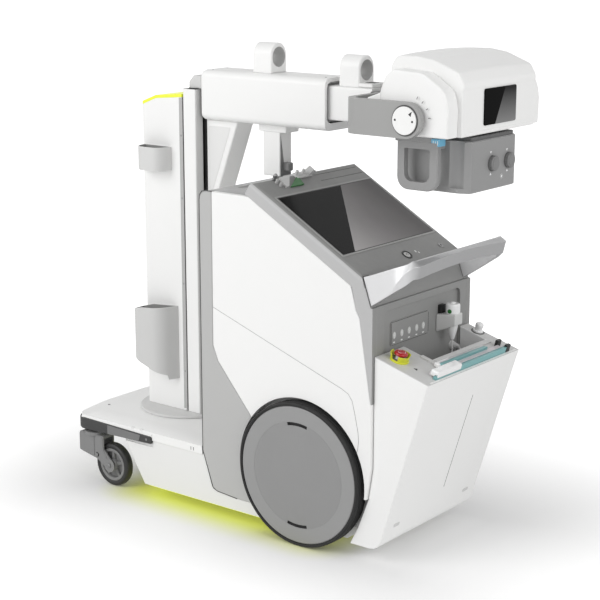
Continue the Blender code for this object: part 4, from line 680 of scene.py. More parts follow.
def pair(name, make, kind, body="chassis", edge=0.0, swaps=()):
    """A piece on each side: the right one as it is made, the left one mirrored."""
    for side, sign in SIDES:
        shape = make() if sign < 0 else mirrored(make())
        keep(f"{name}_{side}", shape, kind, body.format(side=side), edge,
            [node.format(side=side) for node in swaps])


def dress(node, kind, edge, tones=(), cuts=(), reshape=None):
    """A copy of a solid with joined faces, soft edges and its finish, in the solid's place."""
    solid = frame["nodes"][node]
    shape = bmesh.new()
    shape.from_mesh(solid.data)
    bmesh.ops.remove_doubles(shape, verts=shape.verts, dist=1e-6)
    bmesh.ops.dissolve_limit(shape, angle_limit=math.radians(0.6), verts=shape.verts, edges=shape.edges)
    if reshape:
        for point in shape.verts:
            point.co = reshape(point.co / MM) * MM
    cover = as_object(f"{node}_cover", shape)
    finished(cover, kind, tones)
    rounded(cover, edge)
    for cutter, tone in cuts:
        carve(cover, cutter, tone)
    smoothed(cover)
    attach(cover, body_of(node))
    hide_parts(node)
    return cover


def refinish(node, kind):
    """Give a solid that stays as it is another finish."""
    for place in frame["nodes"][node].material_slots:
        place.material = MATERIALS[kind]


def inward(middle, floor, reach):
    """A test for the inner walls and floor of a well round a middle point."""
    def test(centre, normal):
        toward = Vector(middle) - centre
        flat = Vector((toward.x, toward.y, 0))
        return (centre.z > floor and flat.length < reach
                and (normal.dot(flat.normalized()) > 0.35 or (normal.z > 0.9 and centre.z < middle[2])))
    return test


def switch_cord():
    """The hand switch's cord: from the gland in a hanging loop up to the switch, as in the solid model."""
    ends = (Vector((SWITCH_X, SWITCH_Y, 621.5)), Vector((486.5, 174, 585)))
    guides = [Vector(place) for place in ((SWITCH_X, SWITCH_Y, 604), (SWITCH_X, SWITCH_Y, 520),
        (541, 130, 470), (557, 174, 470), (567, 174, 585), (511, 174, 585))]
    places = [ends[0]]
    count = 44
    degree = len(guides) - 1
    for number in range(count + 1):
        part = number / count
        place = Vector((0, 0, 0))
        for index, corner in enumerate(guides):
            place += corner * math.comb(degree, index) * part ** index * (1 - part) ** (degree - index)
        places.append(place)
    places.append(ends[1])
    places = [place / 1000 for place in reversed(places)]
    made = run_of("switch_cord_cover", places, CORD_RADIUS * MM, 4)
    made.data.materials.append(MATERIALS["light"])
    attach(made, "chassis")
    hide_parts("switch_cord")


def drive_wheels():
    """Discs with a sunk middle, a bead and two slots, and tyres with three shallow grooves."""
    hub = plane_at((AXLE_X, -WHEEL_INNER_Y, WHEEL_RADIUS), X, Z)
    disc = [(0, 47.6), (166.8, 47.6), (167.2, 47), (168.2, 47), (168.6, 48), (212, 48), (214.5, 47.3),
        (216.5, 45.2), (216.5, 4), (194.5, 4), (186.5, 32), (60, 32), (52, 2), (18.3, 2), (18.3, 38.5),
        (0, 38.5)]
    tread = []
    for middle in (16, 25, 34):
        tread += [(227.5, middle - 2.2), (226.2, middle - 1.4), (226.2, middle + 1.4),
            (227.5, middle + 2.2)]
    tyre = [(216.8, 2), (219, 0.8), (223.5, 0), (226.2, 2.5), (227.2, 6), (227.5, 10)] + tread
    tyre += [(227.5, 40), (227.2, 44), (226.2, 47.5), (223.5, 50), (220, 49.6), (219, 48.4), (216.8, 48.4)]

    def arc(r_low, r_high, low, high, half, turn):
        return turned([(r_low, low), (r_high, low), (r_high, high), (r_low, high)], 14, 2 * half,
            turn - half)

    for side, sign in SIDES:
        place = hub if sign < 0 else Matrix.Scale(-1, 4, Y) @ hub
        body = f"drive_wheel_{side}"

        def middle(centre, normal):
            reach = math.hypot(centre.x - AXLE_X, centre.z - WHEEL_RADIUS)
            return reach < 167 and abs(centre.y) > 270

        made = fit(f"drive_disc_cover_{side}", place, "disc", turned(disc, 96), body=body,
            swaps=[f"drive_disc_{side}"], tones=[("disc_middle", middle)])
        for turn in (math.pi / 2, -math.pi / 2):
            carve(made, placed(arc(157, 166.8, 41.2, 55, 0.232, turn), place), "black")
        smoothed(made)
        floors = [arc(156.5, 167.3, 39.2, 41.4, 0.237, turn) for turn in (math.pi / 2, -math.pi / 2)]
        fit(f"disc_slot_floor_{side}", place, "black", *floors, body=body)
        fit(f"drive_tyre_cover_{side}", place, "rubber", turned(tyre, 96), body=body,
            swaps=[f"drive_tyre_{side}"])
    dress("drive_axle", "steel", 1)


def casters():
    """Cast rims with five spokes, smooth tyres, and forks with their bolts, collar and parting line."""
    hub = plane_at((CASTER_WHEEL_X, -CASTER_Y, CASTER_RADIUS), X, Z)
    rim = [(46.3, 12.5), (54.5, 14.2), (56, 13.2), (56, -13.2), (54.5, -14.2), (46.3, -12.5), (44, -6),
        (44, 6)]
    boss = [(7.8, 16), (17, 16), (18.8, 14.2), (20.5, 7.5), (20.5, -7.5), (18.8, -14.2), (17, -16),
        (7.8, -16)]
    half = [(56.3, 13), (60, 14.6), (65.5, 16), (70, 14.6), (73.2, 11), (74.7, 6), (75, 0)]
    tyre = half + [(radius, -height) for radius, height in reversed(half[:-1])]
    face = plane_at((CASTER_WHEEL_X, -CASTER_Y - CHEEK_Y, CASTER_RADIUS), X, Z)
    frame_face = plane_at((0, -CASTER_Y - CHEEK_Y, 0), X, Z)

    def wheel():
        parts = [turned(rim, 48), turned(boss, 32)]
        for number in range(5):
            spoke = plate([(16.5, -6.8), (48, -4.6), (48, 4.6), (16.5, 6.8)], 8.5, back=8.5)
            bmesh.ops.bevel(spoke, geom=spoke.edges[:], offset=1.6, segments=2, profile=0.5, affect="EDGES",
                clamp_overlap=True, material=-1)
            parts.append(placed(spoke, Matrix.Rotation(math.tau * number / 5 + 0.3, 4, "Z")))
        parts.append(turned([(7.8, -3), (46, -3), (46, 0.5), (7.8, 0.5)], 32))
        return placed(gathered(*parts), hub)

    def fork_trim():
        collar = turned([(9.5, -1), (23.5, -1), (23.5, 0.8), (22.5, 1.8), (11, 1.8), (9.5, 1)], 36)
        return placed(collar, face)

    def bolts():
        axle = gathered(turned([(0, -1), (8.5, -1), (8.5, 4), (7, 5), (0, 5)], 6),
            drum(0, 0, 10, 0, 1.4, 0.4, 28))
        pivot = gathered(turned([(0, -1), (6.2, -1), (6.2, 3.8), (5.2, 4.6), (0, 4.6)], 6),
            drum(0, 0, 8.2, 0, 1.2, 0.4, 28))
        pivot = placed(pivot, shift(-629.5, 103.5))
        return gathered(placed(axle, face), placed(pivot, frame_face))

    def block_face():
        return placed(plate([(-713, 106, 4), (-644, 95.5, 3), (-644, 168, 3), (-713, 168, 4)], 1.6),
            frame_face)

    def link_face():
        return placed(plate([(-636, 168, 3), (-636, 95, 5), (-601, 72, 10), (-583, 98, 12), (-605, 130, 10),
            (-606, 168, 3)], 1.2), frame_face)

    pair("caster_rim", wheel, "caster", "caster_wheel_{side}", swaps=["caster_hub_{side}"])
    pair("caster_tyre_cover", lambda: placed(turned(tyre, 64), hub), "soft_rubber", "caster_wheel_{side}",
        swaps=["caster_tyre_{side}"])
    pair("caster_collar", fork_trim, "caster", "caster_swivel_{side}")
    pair("caster_bolts", bolts, "dull_steel", "caster_swivel_{side}")
    pair("caster_block_plate", block_face, "caster", "caster_swivel_{side}", 0.6)
    pair("caster_link_plate", link_face, "caster", "caster_swivel_{side}", 0.5)
    for side, _ in SIDES:
        dress(f"caster_fork_{side}", "caster", 1.2)


def deck_and_bumper():
    """The front deck with its latches, and the bumper with its grey inserts."""
    dress("front_deck", "white", 3)

    def tapered(place):
        """The bumper gets slimmer towards its ends."""
        part = min(1.0, max(0, (place.x + 700) / 320))
        low, high = 184 + 10 * part, 226 - 7 * part
        share = (place.z - 182) / 44
        place.z = low + (high - low) * share
        return place

    inlay = placed(pad(0, 205, 170, 28, 2, 3, 0.8), plane_at((NOSE_X, 0, 0), -Y, Z))
    dress("front_bumper", "bumper", 3, reshape=tapered, cuts=[(inlay, "insert")])
    side = plane_at((0, -BUMPER_Y, 0), X, Z)
    pair("bumper_insert", lambda: placed(plate([(-572, 190, 2), (-428, 195, 4), (-420, 217, 4),
        (-572, 221, 2)], 1), side), "insert", edge=0.6)
    pair("bumper_screw", lambda: placed(screw(-393.5, 206.5, 4.2), side), "dull_steel")
    pair("deck_edge_strip", lambda: bar((-700, -263.4, 212), (-374, -248, 230), 1), "white")
    deck = plane_at((0, 0, DECK_TOP_Z), X, Y)
    latch_side = plane_at((0, -262, 0), X, Z)

    def latches():
        tabs = [bar((x - 6.5, -264, 229), (x + 6.5, -256, 236.5), 1.5) for x in (-460, -421)]
        return gathered(*tabs)

    def marks():
        return gathered(*(placed(pad(x, 217, 2.2, 11, 0.8, 0.5), latch_side) for x in (-201, -190)))

    pair("deck_latches", latches, "trim")
    pair("deck_marks", marks, "grey_ink")
    fit("deck_screws", deck, "dull_steel", *(screw(x, y, 4.5) for x in (-660, -215) for y in (-170, 170)))


def cabinet():
    """The cabinet's core, accents, side panels with their panel line, skirt and lamp."""
    line = [(-103, 700.2), (317, 555), (400, 526.5), (424, 515), (438, 496), (447.5, 460), (460, 405),
        (462.5, 380), (460, 355), (450, 318)]

    def groove(side):
        return thread([(x, side * SIDE_Y, z) for x, z in line], 1.2)

    for name, sign in SIDES:
        dress(f"side_accent_{name}", "accent", 2.2)
        dress(f"side_panel_{name}", "white", 2.2, cuts=[(groove(sign), "seam")])

    # Painted shade: the core's side faces take the flat dark grey
    def flank(centre, normal):
        return abs(normal.y) > 0.9 and abs(centre.y) > 236

    def roof(centre, normal):
        return normal.z > 0.9 and centre.z > 1000

    dress("body_core", "light", 2, tones=[("shadow", flank), ("band", roof)])
    dress("base_skirt", "skirt", 3)
    refinish("under_light", "glow")
    # Painted shade: a dark bead along the accent's front and lower edges, where shade falls at the corner
    edge = [(-150.8, 222), (-150.8, 600), (-150.8, 1030), (-147.8, 1047.8), (-140, 1057.8), (-125, 1061.2),
        (-100, 1061.2)]
    foot = [(-150.8, 222), (-112, 108), (-107, 101.5), (-92, 95.5), (-10, 88.5)]
    shade_line = [(x, -260.2, z) for x, z in foot[::-1] + edge[1:]]
    pair("accent_painted_shade_line", lambda: thread(shade_line, 1.6, 2), "shadow")
    front = plane_at((BODY_FRONT_X, 0, 0), -Y, Z)
    fit("front_cover", front, "skirt", pad(0, 660, 380, 720, 2.2, 12), edge=1.2)
    cover = plane_at((BODY_FRONT_X - 2.2, 0, 0), -Y, Z)
    fit("front_cover_screws", cover, "dull_steel", *(screw(u, v, 4.5) for u in (-170, 170)
        for v in (325, 660, 995)))
    fit("front_vents", cover, "shadow", *(pad(0, 360 + 14 * number, 200, 5, 0.6, 2.4)
        for number in range(9)))


def console():
    """The sloping console: screen with its dark surround, key, button and signs, and the push handle."""
    slope = plane_at(CONSOLE_BACK, (1, 0, -CONSOLE_SLOPE), Y)
    fall = math.hypot(1, CONSOLE_SLOPE)

    def down(x):
        return (x - CONSOLE_BACK[0]) * fall

    upward = Vector((CONSOLE_SLOPE, 0, 1)).normalized()

    def top(centre, normal):
        return normal.dot(upward) > 0.80

    def rear(centre, normal):
        return normal.x > 0.5 and normal.dot(upward) < 0.80

    ridges = []
    for x in (80, 106):
        z = CONSOLE_BACK[2] - CONSOLE_SLOPE * (x - CONSOLE_BACK[0])
        ridges.append(thread([(x, 20, z), (x, 236, z)], 1.1))
    dress("console_frame", "band", 3, tones=[("bezel", top), ("recess", rear)],
        cuts=[(gathered(*ridges), "frame_dark")])
    near, far = down(139), down(382)
    middle = (near + far) / 2
    fit("screen_gap", slope, "frame_dark", pad(middle, 0, far - near + 4, 472, 0.6, 3, 2), edge=0.2)
    long = far - near + 12
    rims = [pad(near - 5.2, 0, 6, 488, 1.6, 1, 2), pad(far + 5.2, 0, 6, 488, 1.6, 1, 2),
        pad(middle, 241.2, long, 6, 1.6, 1, 2), pad(middle, -241.2, long, 6, 1.6, 1, 2)]
    fit("screen_surround", slope, "surround", *rims, edge=0.6)
    fit("screen_glass", slope, "console_screen", pad(middle, 0, far - near - 2, 466, 1.4, 3, 4), edge=0.4,
        swaps=["console_display"])
    key_x = down(438.4)
    key = slope @ shift(key_x, 10.3)
    ring = turned([(11.5, -1), (18, -1), (18, 1.2), (16.8, 2.2), (12.8, 1.6), (11.5, 0.6)], 36)
    fit("power_ring", key, "black", ring)
    cap = turned([(0, -1), (10.8, -1), (10.8, 1), (9, 1.8), (0, 1.4)], 32)
    fit("power_cap", key, "light", cap)
    sign = gathered(turned([(3.6, 1.2), (4.8, 1.2), (4.8, 2.1), (3.6, 2.1)], 20, math.radians(280),
        math.radians(-140)), pad(-4.2, 0, 5, 1.2, 2.1, 0, -1.2))
    fit("power_sign", key, "ink", sign)
    bits = [pad(key_x - 4, 60, 8.5, 4.5, 0.6, 1), pad(key_x + 4, 69, 6, 4, 0.6, 1)]
    fit("console_signs", slope, "pale_ink", *bits)
    lock = turned([(3, -1), (10.5, -1), (10.5, 1.8), (9.5, 2.6), (7.5, 2), (3, 2)], 32)
    fit("key_switch", slope @ shift(down(439.1), 193.7), "dull_steel", lock)
    fit("key_slot", slope, "black", pad(down(439.1), 193.7, 6.2, 1.6, 2.4))
    push_handle()


def push_handle():
    """The push handle: a bow that grows out of the console's leaning end, tall at its roots, and gets a
    crease along its outer face towards the bar."""
    corner = HANDLE_X - HANDLE_BEND
    stations = [(0, None)]
    stations += [(x, None) for x in (500, 525, 550, 572, 592)]
    stations += [(corner, turn) for turn in (0, 15, 30, 45, 60, 75, 90)]
    half = []
    for x, turn in stations:
        swing = math.radians(turn or 0)
        out = Vector((math.sin(swing), -math.cos(swing), 0))
        spot = Vector((x, -HANDLE_Y, 0))
        if turn is not None:
            spot = Vector((corner, HANDLE_BEND - HANDLE_Y, 0)) + out * HANDLE_BEND
        half.append((spot, out, x == 0))
    half += [(Vector((HANDLE_X, y, 0)), X, False) for y in (-160, -80, 0)]
    rings = []
    for spot, out, root in half:
        along = 474.8 if root else spot.x
        part = min(1.0, max(0, (along - 545) / 80))
        crease = part * part * (3 - 2 * part)
        high = min(934, 871.5 + (along - 474.8) * 0.392)
        low = min(882.5, 788 + max(0, along - 497.8) * 0.665)
        low += 10.5 * max(0, 1 - (spot.y / 223) ** 2) * (spot.x > 645)
        section = [(0.5 + 16 * crease, high), (0, low + 34 * crease + 4), (1 + 7.5 * crease, low),
            (25.5, low + 3 * crease), (28, high - 1.5)]
        ring = []
        for inset, z in section:
            place = spot - out * inset
            if root:
                place.x = 470.5 + 0.341 * (871 - z) + 0.4
            ring.append(Vector((place.x, place.y, z)))
        rings.append(ring)
    rings += [[Vector((place.x, -place.y, place.z)) for place in ring] for ring in reversed(rings[:-1])]
    keep("push_handle_cover", lofted(rings), "silver", edge=2.2, swaps=["push_handle"])
    roots = [bar((469, sign * 244 - 12.5, 864), (473.5, sign * 244 + 12.5, 873.5), 0.8) for sign in (1, -1)]
    keep("handle_root_gaskets", gathered(*roots), "black")


def dock():
    """The cradle on the console's back edge: its plate, pegs and green wedge."""
    slope = plane_at(CONSOLE_BACK, (1, 0, -CONSOLE_SLOPE), Y)
    dress("dock_cradle", "column_grey", 0.6)
    wedge = plate([(15, -56), (60, -71), (60, -137)], 4.5)
    fit("dock_mark", slope, "green", wedge, edge=0.6)
    shell = plate([(11, -90, 2), (56, -140, 3), (56, -156, 3), (11, -142, 3)], 5)
    fit("dock_guide", slope, "light", shell, edge=2)
    pin = gathered(drum(12, -166, 5.5, 0, 7, 1, 24), placed(turned([(0, 5), (3.5, 5), (5, 11.5),
        (6.5, 15.5), (5.5, 19.5), (3, 21.5), (0, 22)], 24), shift(12, -166)))
    fit("dock_pin", slope, "dull_steel", pin)
    pegs = [drum(s, y, 5, 0, 14, 1, 20) for s, y in ((28, -170), (44, -168))]
    fit("dock_pegs", slope, "seam", *pegs)
    yoke = gathered(bar((-62, -12, 1078), (-38, 12, 1086), 1.5),
        bar((-62, -12, 1064), (-55, 12, 1080), 1.2), bar((-45, -12, 1064), (-38, 12, 1080), 1.2))
    keep("dock_latch_yoke", yoke, "caster", "boom")


def recess():
    """The recessed panel: indicator plate with five lamps, switch holder, gland and hand switch."""
    wall = plane_at((RECESS_X, 0, 0), Y, Z)
    face = plane_at((PLATE_X, 0, 0), Y, Z)

    def holder(place):
        return place.x > 501.5 and 80 < place.y < 156 and 640 < place.z < 710

    def shifted(place):
        """The indicator plate sits further to the left, and the switch's holder is slimmer."""
        if 496.5 < place.x < 501 and -200 < place.y < 15 and 640 < place.z < 730:
            place.y += 34
        elif holder(place):
            place.y = 118 + (place.y - 118) * 0.68
            place.z = 685.5 + (place.z - 672.5) * 0.66
        return place

    dress("rear_panel", "recess", 1.2, reshape=shifted, tones=[("light", lambda centre, _: holder(centre))])
    edges = ((-58, 720.5, 188, 1), (-58, 651.5, 188, 1), (-155, 686, 1, 62), (39, 686, 1, 62))
    fit("indicator_outline", face, "ink", *(pad(*edge, 0.5) for edge in edges))

    def oval(u, v, wide, tall, high):
        """An oval button of the given half width and half height."""
        button = turned([(0, -0.3), (1, -0.3), (1, high * 0.5), (0.86, high), (0, high)], 28)
        return placed(button, shift(u, v) @ Matrix.Diagonal((wide, tall, 1, 1)))

    spots = (-140, -101, -62.5, -23, 12.5)
    fit("indicator_buttons", face, "column_grey", *(oval(u, 680, 7.8, 10.8, 1) for u in spots))
    symbols = []
    for u in spots:
        arc = turned([(3, 0.9), (4, 0.9), (4, 1.4), (3, 1.4)], 18)
        symbols += [placed(arc, shift(u, 682.5)), pad(u, 674.5, 1.4, 6, 1.4)]
    fit("indicator_symbols", face, "pale_ink", *symbols)
    fit("indicator_dots", face, "pale_ink", *(oval(u - 1, 659, 5.2, 2.2, 0.7) for u in spots))
    dress("cord_gland", "light", 0.6)
    sleeve = turned([(2.8, -2), (10.5, -2), (10, 4), (6.2, 16), (4.4, 22.5), (2.8, 22.5)], 28)
    fit("cord_relief", plane_at((506, 174, 585), Y, Z), "light", sleeve)
    switch = [(0, 621.2), (5.2, 621.2), (7, 624.5), (12.5, 644), (16.8, 664), (18, 675), (18, 701),
        (21.5, 703), (22.4, 706), (22.4, 727), (21.5, 731), (19, 733.5), (8, 734.5), (7, 737.5), (0, 738)]
    body = plane_at((SWITCH_X, SWITCH_Y, 0), X, Y)
    fit("hand_switch_cover", body, "gloss_white", turned(switch, 40), swaps=["hand_switch"])
    look = Vector((0.10, -0.995, 0)).normalized()
    seat = plane_at(Vector((SWITCH_X, SWITCH_Y, 712)) + look * 20.5, Vector((0.995, 0.10, 0)), Z)
    button = turned([(0, -2), (6.8, -2), (6.8, 2.4), (5.5, 3.4), (0, 3.8)], 28)
    fit("switch_button", seat, "green", button)
    seam = turned([(18, 689.5), (18.6, 690), (18.6, 691.5), (18, 692)], 36)
    fit("switch_seam", body, "seam", seam)
    fit("switch_back_pad", wall, "black", pad(108.5, 711, 26, 32, 12, 3), edge=0.6)


def detector_bin():
    """The bin with its slit and grey tray, detectors with their clips and sliders, stop button and knob."""
    rim = plane_at(RIM_BACK, (1, 0, -RIM_SLOPE), Y)
    fall = math.hypot(1, RIM_SLOPE)
    upward = Vector((RIM_SLOPE, 0, 1)).normalized()
    lean = Vector(BIN_LIP) - Vector(BIN_FOOT)
    outer = plane_at(BIN_FOOT, Y, lean)

    def down(x):
        return (x - RIM_BACK[0]) * fall

    def tray(centre, normal):
        return normal.dot(upward) > 0.97 and centre.z > 500

    def back(centre, normal):
        return normal.x > 0.7 and centre.x < 512 and centre.z > 488

    slit = thread([(665.5, 38, 487), (569.5, 38, 174.5)], 1.3)
    # Painted light: the well's inner walls and floor take polished white, so they look lit inside the bin
    well = inward((556, 50, 600), 480, 260)
    dress("detector_bin", "shell", 4, tones=[("tray", tray), ("gloss_white", well), ("recess", back)],
        cuts=[(slit, "shadow")])
    far = plane_at((0, 204.8, 0), X, Z)
    spots = ((528, 566), (532, 534))
    fit("bin_wall_screws", far, "collimator_dark", *(drum(*spot, 7, -2, 1, 0.5, 24) for spot in spots))
    dress("detector_rear", "teal", 1.5)
    dress("detector_front", "teal", 1.5)
    lip = down(690.5)
    fit("bin_lip_trim", rim, "shell", pad(lip, 0, 6.5, 470, 1.2, 2), edge=0.6)
    frames = [bar((-1.6, -190, 0), (1.6, 190, 1), 0.4), bar((-1.6, -118, 0), (1.6, 118, 1), 0.4)]
    tops = ((679, 609), (645.5, 618.5))
    for shape, (x, z), name in zip(frames, tops, ("rear", "front")):
        fit(f"detector_{name}_line", shift(x, 0, z - 0.5), "pale", shape)
    divider = plate([(down(654), -186, 2), (down(666), -186, 2), (down(666), 186, 2), (down(654), 186, 2)],
        10)
    fit("detector_divider", rim, "pale", divider, edge=1.2)
    slider = bar((down(660), -196, 4), (down(689), -70, 25), 6, 4)
    fit("detector_slider", rim, "gloss_white", slider)
    second = bar((down(630), -130, 1), (down(650), -60, 15), 4.5, 4)
    fit("detector_slider_inner", rim, "gloss_white", second)
    clips = []
    for x, y in ((651, 191.5), (683, 191.5)):
        clips.append(bar((down(x) - 5, y - 11, 0), (down(x) + 5, y + 11, 24), 1.2))
    fit("detector_clips", rim, "black", *clips)
    step = gathered(bar((down(608), -100, 0), (down(626), 200, 5), 1.5),
        bar((down(575), -118, 0), (down(626), -102, 5), 1.5))
    fit("tray_steps", rim, "tray", step)
    arrow = plate([(down(609), -199), (down(617), -190), (down(623), -202)], 0.5)
    fit("tray_arrow", rim, "ink", arrow)
    seat = rim @ shift(53, -197)
    guard = [turned([(20, 0), (28.5, 0), (28.5, 4), (26.2, 5.8), (20, 5.8)], 40)]
    for degrees in (-37, 83, 203):
        wing = turned([(23.2, 3), (27.2, 3), (29.2, 12), (31.8, 21.5), (29.6, 22.5), (26.2, 15),
            (23.8, 10)], 12, math.radians(66), math.radians(degrees - 33))
        guard.append(wing)
    fit("stop_guard", seat, "yellow", *guard, edge=0.8, swaps=["stop_housing"])
    collar = turned([(0, 0.3), (23.2, 0.3), (23.2, 6), (18, 8.5), (16.5, 15), (15, 21.5), (0, 21.5)], 36)
    fit("stop_collar", seat, "dull_steel", collar)
    button = turned([(0, 18.5), (18.5, 18.5), (20.2, 20), (20.6, 22.2), (20, 25), (18, 27.2), (12, 28.5),
        (5, 29), (0, 29)], 40)
    fit("stop_head", seat, "red", button, swaps=["stop_button"])
    marks = []
    for number in range(3):
        arc = turned([(11.2, 27.8), (12.2, 27.8), (12.2, 29), (11.2, 29)], 8, math.radians(60),
            math.radians(120 * number))
        marks.append(arc)
    fit("stop_marks", seat, "pale_ink", *marks)
    spot = rim @ shift(55, BIN_Y - 24)
    fit("bin_knob_base", spot, "collimator_dark", turned([(17, -0.5), (21.5, -0.5), (21.5, 1), (20, 1.8),
        (17, 1.8)], 40))
    knob = turned([(0, 0.3), (16.8, 0.3), (16.8, 4), (15.5, 5.8), (11.8, 6.4), (11.2, 12), (12.5, 16.5),
        (12.8, 22.5), (11.8, 27), (8.5, 29.8), (0, 30.5)], 40)
    fit("bin_knob_cover", spot, "gloss_white", knob, swaps=["bin_knob"])
    fit("bin_foot_pads", outer, "tray", *(pad(u, 75, 30, 12, 1.2, 4) for u in (-190, 190)), edge=0.5)


def column():
    """The turning column: cover, guide channel, mast, top light, cup and pocket."""
    dress("turntable", "light", 1)
    dress("column_cover", "white", 1.6)
    refinish("column_light", "soft_glow")

    def flank(centre, normal):
        return abs(normal.y) > 0.9 and abs(centre.y) > 79

    def slot(centre, normal):
        return abs(centre.y) < 66 and centre.x < -322

    dress("column_channel", "column_grey", 1.2, tones=[("white", flank), ("black", slot)])
    slant = placed(plate([(-372, 1352), (-336, 1392), (-372, 1392)], 140, back=140),
        plane_at((0, 0, 0), X, Z))
    dress("mast", "light", 1.5, cuts=[(slant, None)], tones=[("black", lambda centre, _: centre.z < 1335)])
    side = plane_at((0, -COLUMN_Y, 0), X, Z)
    pair("column_strip", lambda: placed(plate([(-393.5, 270), (-379, 270), (-379, 1312), (-393.5, 1312)],
        0.5), side), "seam", "column", 0.2)
    pair("column_seam", lambda: placed(plate([(-379, 270), (-376.8, 270), (-376.8, 1315), (-379, 1313)],
        0.3), side), "shadow", "column")
    pair("column_screws", lambda: gathered(*(placed(screw(-386.2, z, 3, 1), side)
        for z in (400, 700, 985, 1190))), "dull_steel", "column")
    front = plane_at((COVER_FRONT_X, 0, 0), -Y, Z)
    fit("column_front_panel", front, "trim", pad(0, 755, 118, 880, 1.2, 10), body="column", edge=0.8)
    well = inward((-489, -110, 1120), 1076.5, 120)

    def slimmer(place):
        """The cup holder is slimmer than its solid."""
        place.x = -547 + (place.x + 547) * 0.82
        return place

    # Painted shade: the cup holder's well is drawn in the darker recess grey
    dress("cup_holder", "light", 1, reshape=slimmer, tones=[("recess", well)])
    # Painted shade: the pocket's inside is drawn in the darker recess grey
    dress("side_pocket", "pocket", 1.2, tones=[("recess", inward((-500, -112, 560), 450, 200))])


def boom():
    """The boom's sleeve, gusset, cable eyes, post and inner arm."""
    # Painted shade: the inner walls of the sleeve's mouth take the flat dark grey
    def in_mouth(centre, normal):
        flat = Vector((0, -centre.y, ARM_Z - centre.z))
        return (centre.x < SLEEVE_REAR_X - 0.5 and normal.dot(flat.normalized()) > 0.4
            and abs(centre.y) < 61.5 and abs(centre.z - ARM_Z) < 64)

    dress("boom_sleeve", "white", 2, tones=[("shadow", in_mouth)])
    dress("boom_gusset", "white", 2)

    def neck(centre, normal):
        return 1086.2 < centre.z < 1130 and abs(centre.y) < 26

    dress("dock_post", "white", 1.5, tones=[("caster", neck)])
    dress("inner_arm", "white", 1.5, tones=[("fork", lambda centre, _: centre.x > 345.2)])
    for node, height in (("cable_loop_front", 1453.8), ("cable_loop_rear", 1431.8)):

        def bore(centre, normal, height=height):
            spoke = Vector((0, -centre.y, height - centre.z))
            return spoke.length < 32.2 and abs(normal.x) < 0.3 and normal.dot(spoke.normalized()) > 0.5

        dress(node, "white", 1.2, tones=[("column_grey", bore)])
    keep("loop_foot_slot", bar((295.5, -15, 1394.4), (330, 15, 1395.8), 0.4), "black", "inner_boom")
    top = plane_at((0, 0, 1405), X, Y)
    fit("sleeve_screws", top, "dull_steel", *(screw(x, y, 3, 0.8) for x in (-285, 165) for y in (-35, 35)),
        body="boom")
    side = plane_at((0, -42, 0), X, Z)
    pair("gusset_cover", lambda: placed(plate([(-300, 1225, 4), (-208, 1225, 4), (-298, 985, 4)], 1), side),
        "trim", "boom", 0.6)


def tube_head():
    """The fork, the housing with its caps and display, and the pivot's scale."""
    dress("roll_fork", "fork", 3)
    keep("fork_inlay", gathered(bar((380, -105, FORK_TOP_Z - 4), (418, 105, FORK_TOP_Z + 0.6), 1.5)),
        "collimator_dark", "fork")
    dress("tube_housing", "white", 10)
    for side, _ in SIDES:
        dress(f"tube_cap_{side}", "white", 3)
        dress(f"tilt_pin_{side}", "white", 0.6)
    lip = bar((744, -180, 1288), (752, 180, 1297.5), 2.5, 3)
    keep("head_lip", lip, "white", "tube_head")
    cap = plane_at((0, -CAP_Y, 0), X, Z)
    pair("cap_seam", lambda: placed(pad(520, 1400, 0.8, 90, 0.3), cap), "seam", "tube_head")
    dress("head_display", "head_screen", 0.8)
    disc = plane_at((PIVOT_X, -PIN_FACE_Y, ARM_Z), X, Z)

    def marks():
        arrow = plate([(14.5, 18.5), (22.5, 12.5), (26.5, 27)], 0.4)
        dots = [drum(x, z, 3.2, 0, 0.4, 0, 16) for x, z in ((-29, 1), (28, -1))]
        return placed(gathered(arrow, *dots), disc)

    pair("pivot_marks", marks, "ink", "tube_head")
    pair("pivot_ring", lambda: placed(turned([(39.4, -5.8), (43, -5.8), (43, -4.6), (39.4, -4.6)], 48),
        disc), "shadow", "fork")

    def scale():
        ticks = []
        for degrees in (-58, -46, 8, 30, 50, 68):
            turn = shift(PIVOT_X, ARM_Z) @ Matrix.Rotation(math.radians(degrees), 4, "Z")
            ticks.append(placed(pad(66, 0, 8, 2.6, 0.4), turn))
        return placed(gathered(*ticks), cap)

    pair("cap_scale", scale, "grey_ink", "tube_head")


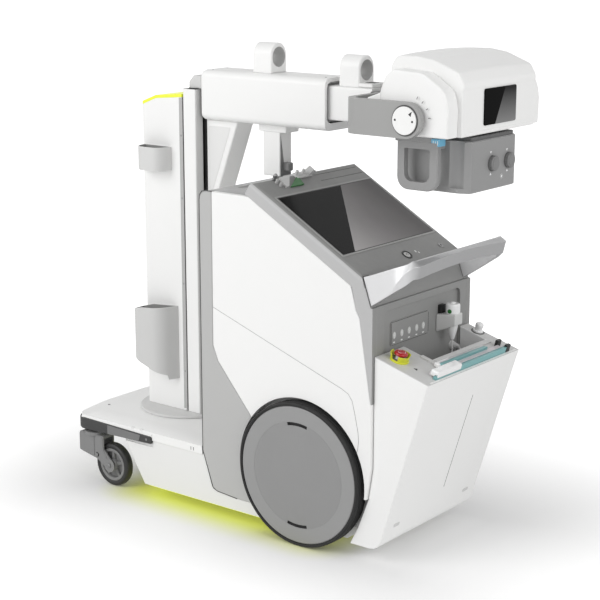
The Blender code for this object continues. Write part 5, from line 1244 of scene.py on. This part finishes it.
def collimator():
    """The collimator's box with its grips, knobs, marks and the dark plate that it hangs from."""
    low, high = COLLIMATOR_FLOOR_Z + 14, COLLIMATOR_TOP_Z + 20
    hollows = [drum(700, sign * COLLIMATOR_FLANK, 36, low, high, 0, 48) for sign in (1, -1)]
    dress("collimator_body", "collimator", 2.8, cuts=[(gathered(*hollows), None)],
        tones=[("caster", lambda centre, _: centre.x > COLLIMATOR_X + 1)])
    dress("collimator_ring", "black", 1)
    top = plane_at((0, 0, COLLIMATOR_TOP_Z), X, Y)
    fit("collimator_top_plate", top, "collimator_dark", pad(688, 0, 90, 226, 11, 8), body="collimator",
        edge=1.2)
    face = plane_at((COLLIMATOR_X, 0, 0), Y, Z)
    ribs = []
    rings = []
    for y in (-10, 77):
        spot = shift(y, KNOB_Z)
        knob = turned([(0, 0), (23.2, 0), (23.2, 1.6), (21.5, 2.4), (0, 2.4)], 40)
        rings.append(placed(knob, spot))
        for number in range(KNOB_RIBS):
            turn = Matrix.Rotation(math.tau * number / KNOB_RIBS, 4, "Z")
            ribs.append(placed(bar((20.2, -1.2, 3), (21.8, 1.2, 11.8), 0.5, 1), spot @ turn))
        cap = turned([(0, 12), (16.5, 12), (16, 13.6), (15, 14.2), (0, 13.8)], 36)
        ribs.append(placed(cap, spot))
    fit("collimator_knob_rings", face, "collimator_dark", *rings, body="collimator")
    fit("collimator_knob_ribs", face, "caster", *ribs, body="collimator")
    signs = []
    for y, z, way in ((-18.7, 1226.5, 1), (68.9, 1225.4, 1), (-18.2, 1165, -1), (72.3, 1165.5, -1)):
        signs.append(plate([(y - 4.5, z + 3 * way), (y, z - 4 * way), (y + 4.5, z + 3 * way)], 0.5))
    sun = [drum(42.6, 1152, 3.5, 0, 0.5, 0, 18)]
    for number in range(8):
        turn = shift(42.6, 1152) @ Matrix.Rotation(math.tau * number / 8, 4, "Z")
        sun.append(placed(pad(6.2, 0, 2.4, 1, 0.5), turn))
    fit("collimator_signs", face, "pale_ink", *signs, *sun, body="collimator")
    flank = plane_at((0, -179, 0), X, Z)
    keep("collimator_tag", bar((640.5, -179, 1253), (669, -148, 1273.5), 2), "blue", "collimator")
    lines = [pad(648 + 7 * number, 1263, 2, 12 - 3 * (number % 2), 0.4) for number in range(3)]
    fit("collimator_tag_print", flank, "pale_ink", *lines, body="collimator")


MATERIALS = make_materials()
set_camera()
switch_cord()
set_studio()
drive_wheels()
casters()
deck_and_bumper()
cabinet()
console()
dock()
recess()
detector_bin()
column()
boom()
tube_head()
collimator()
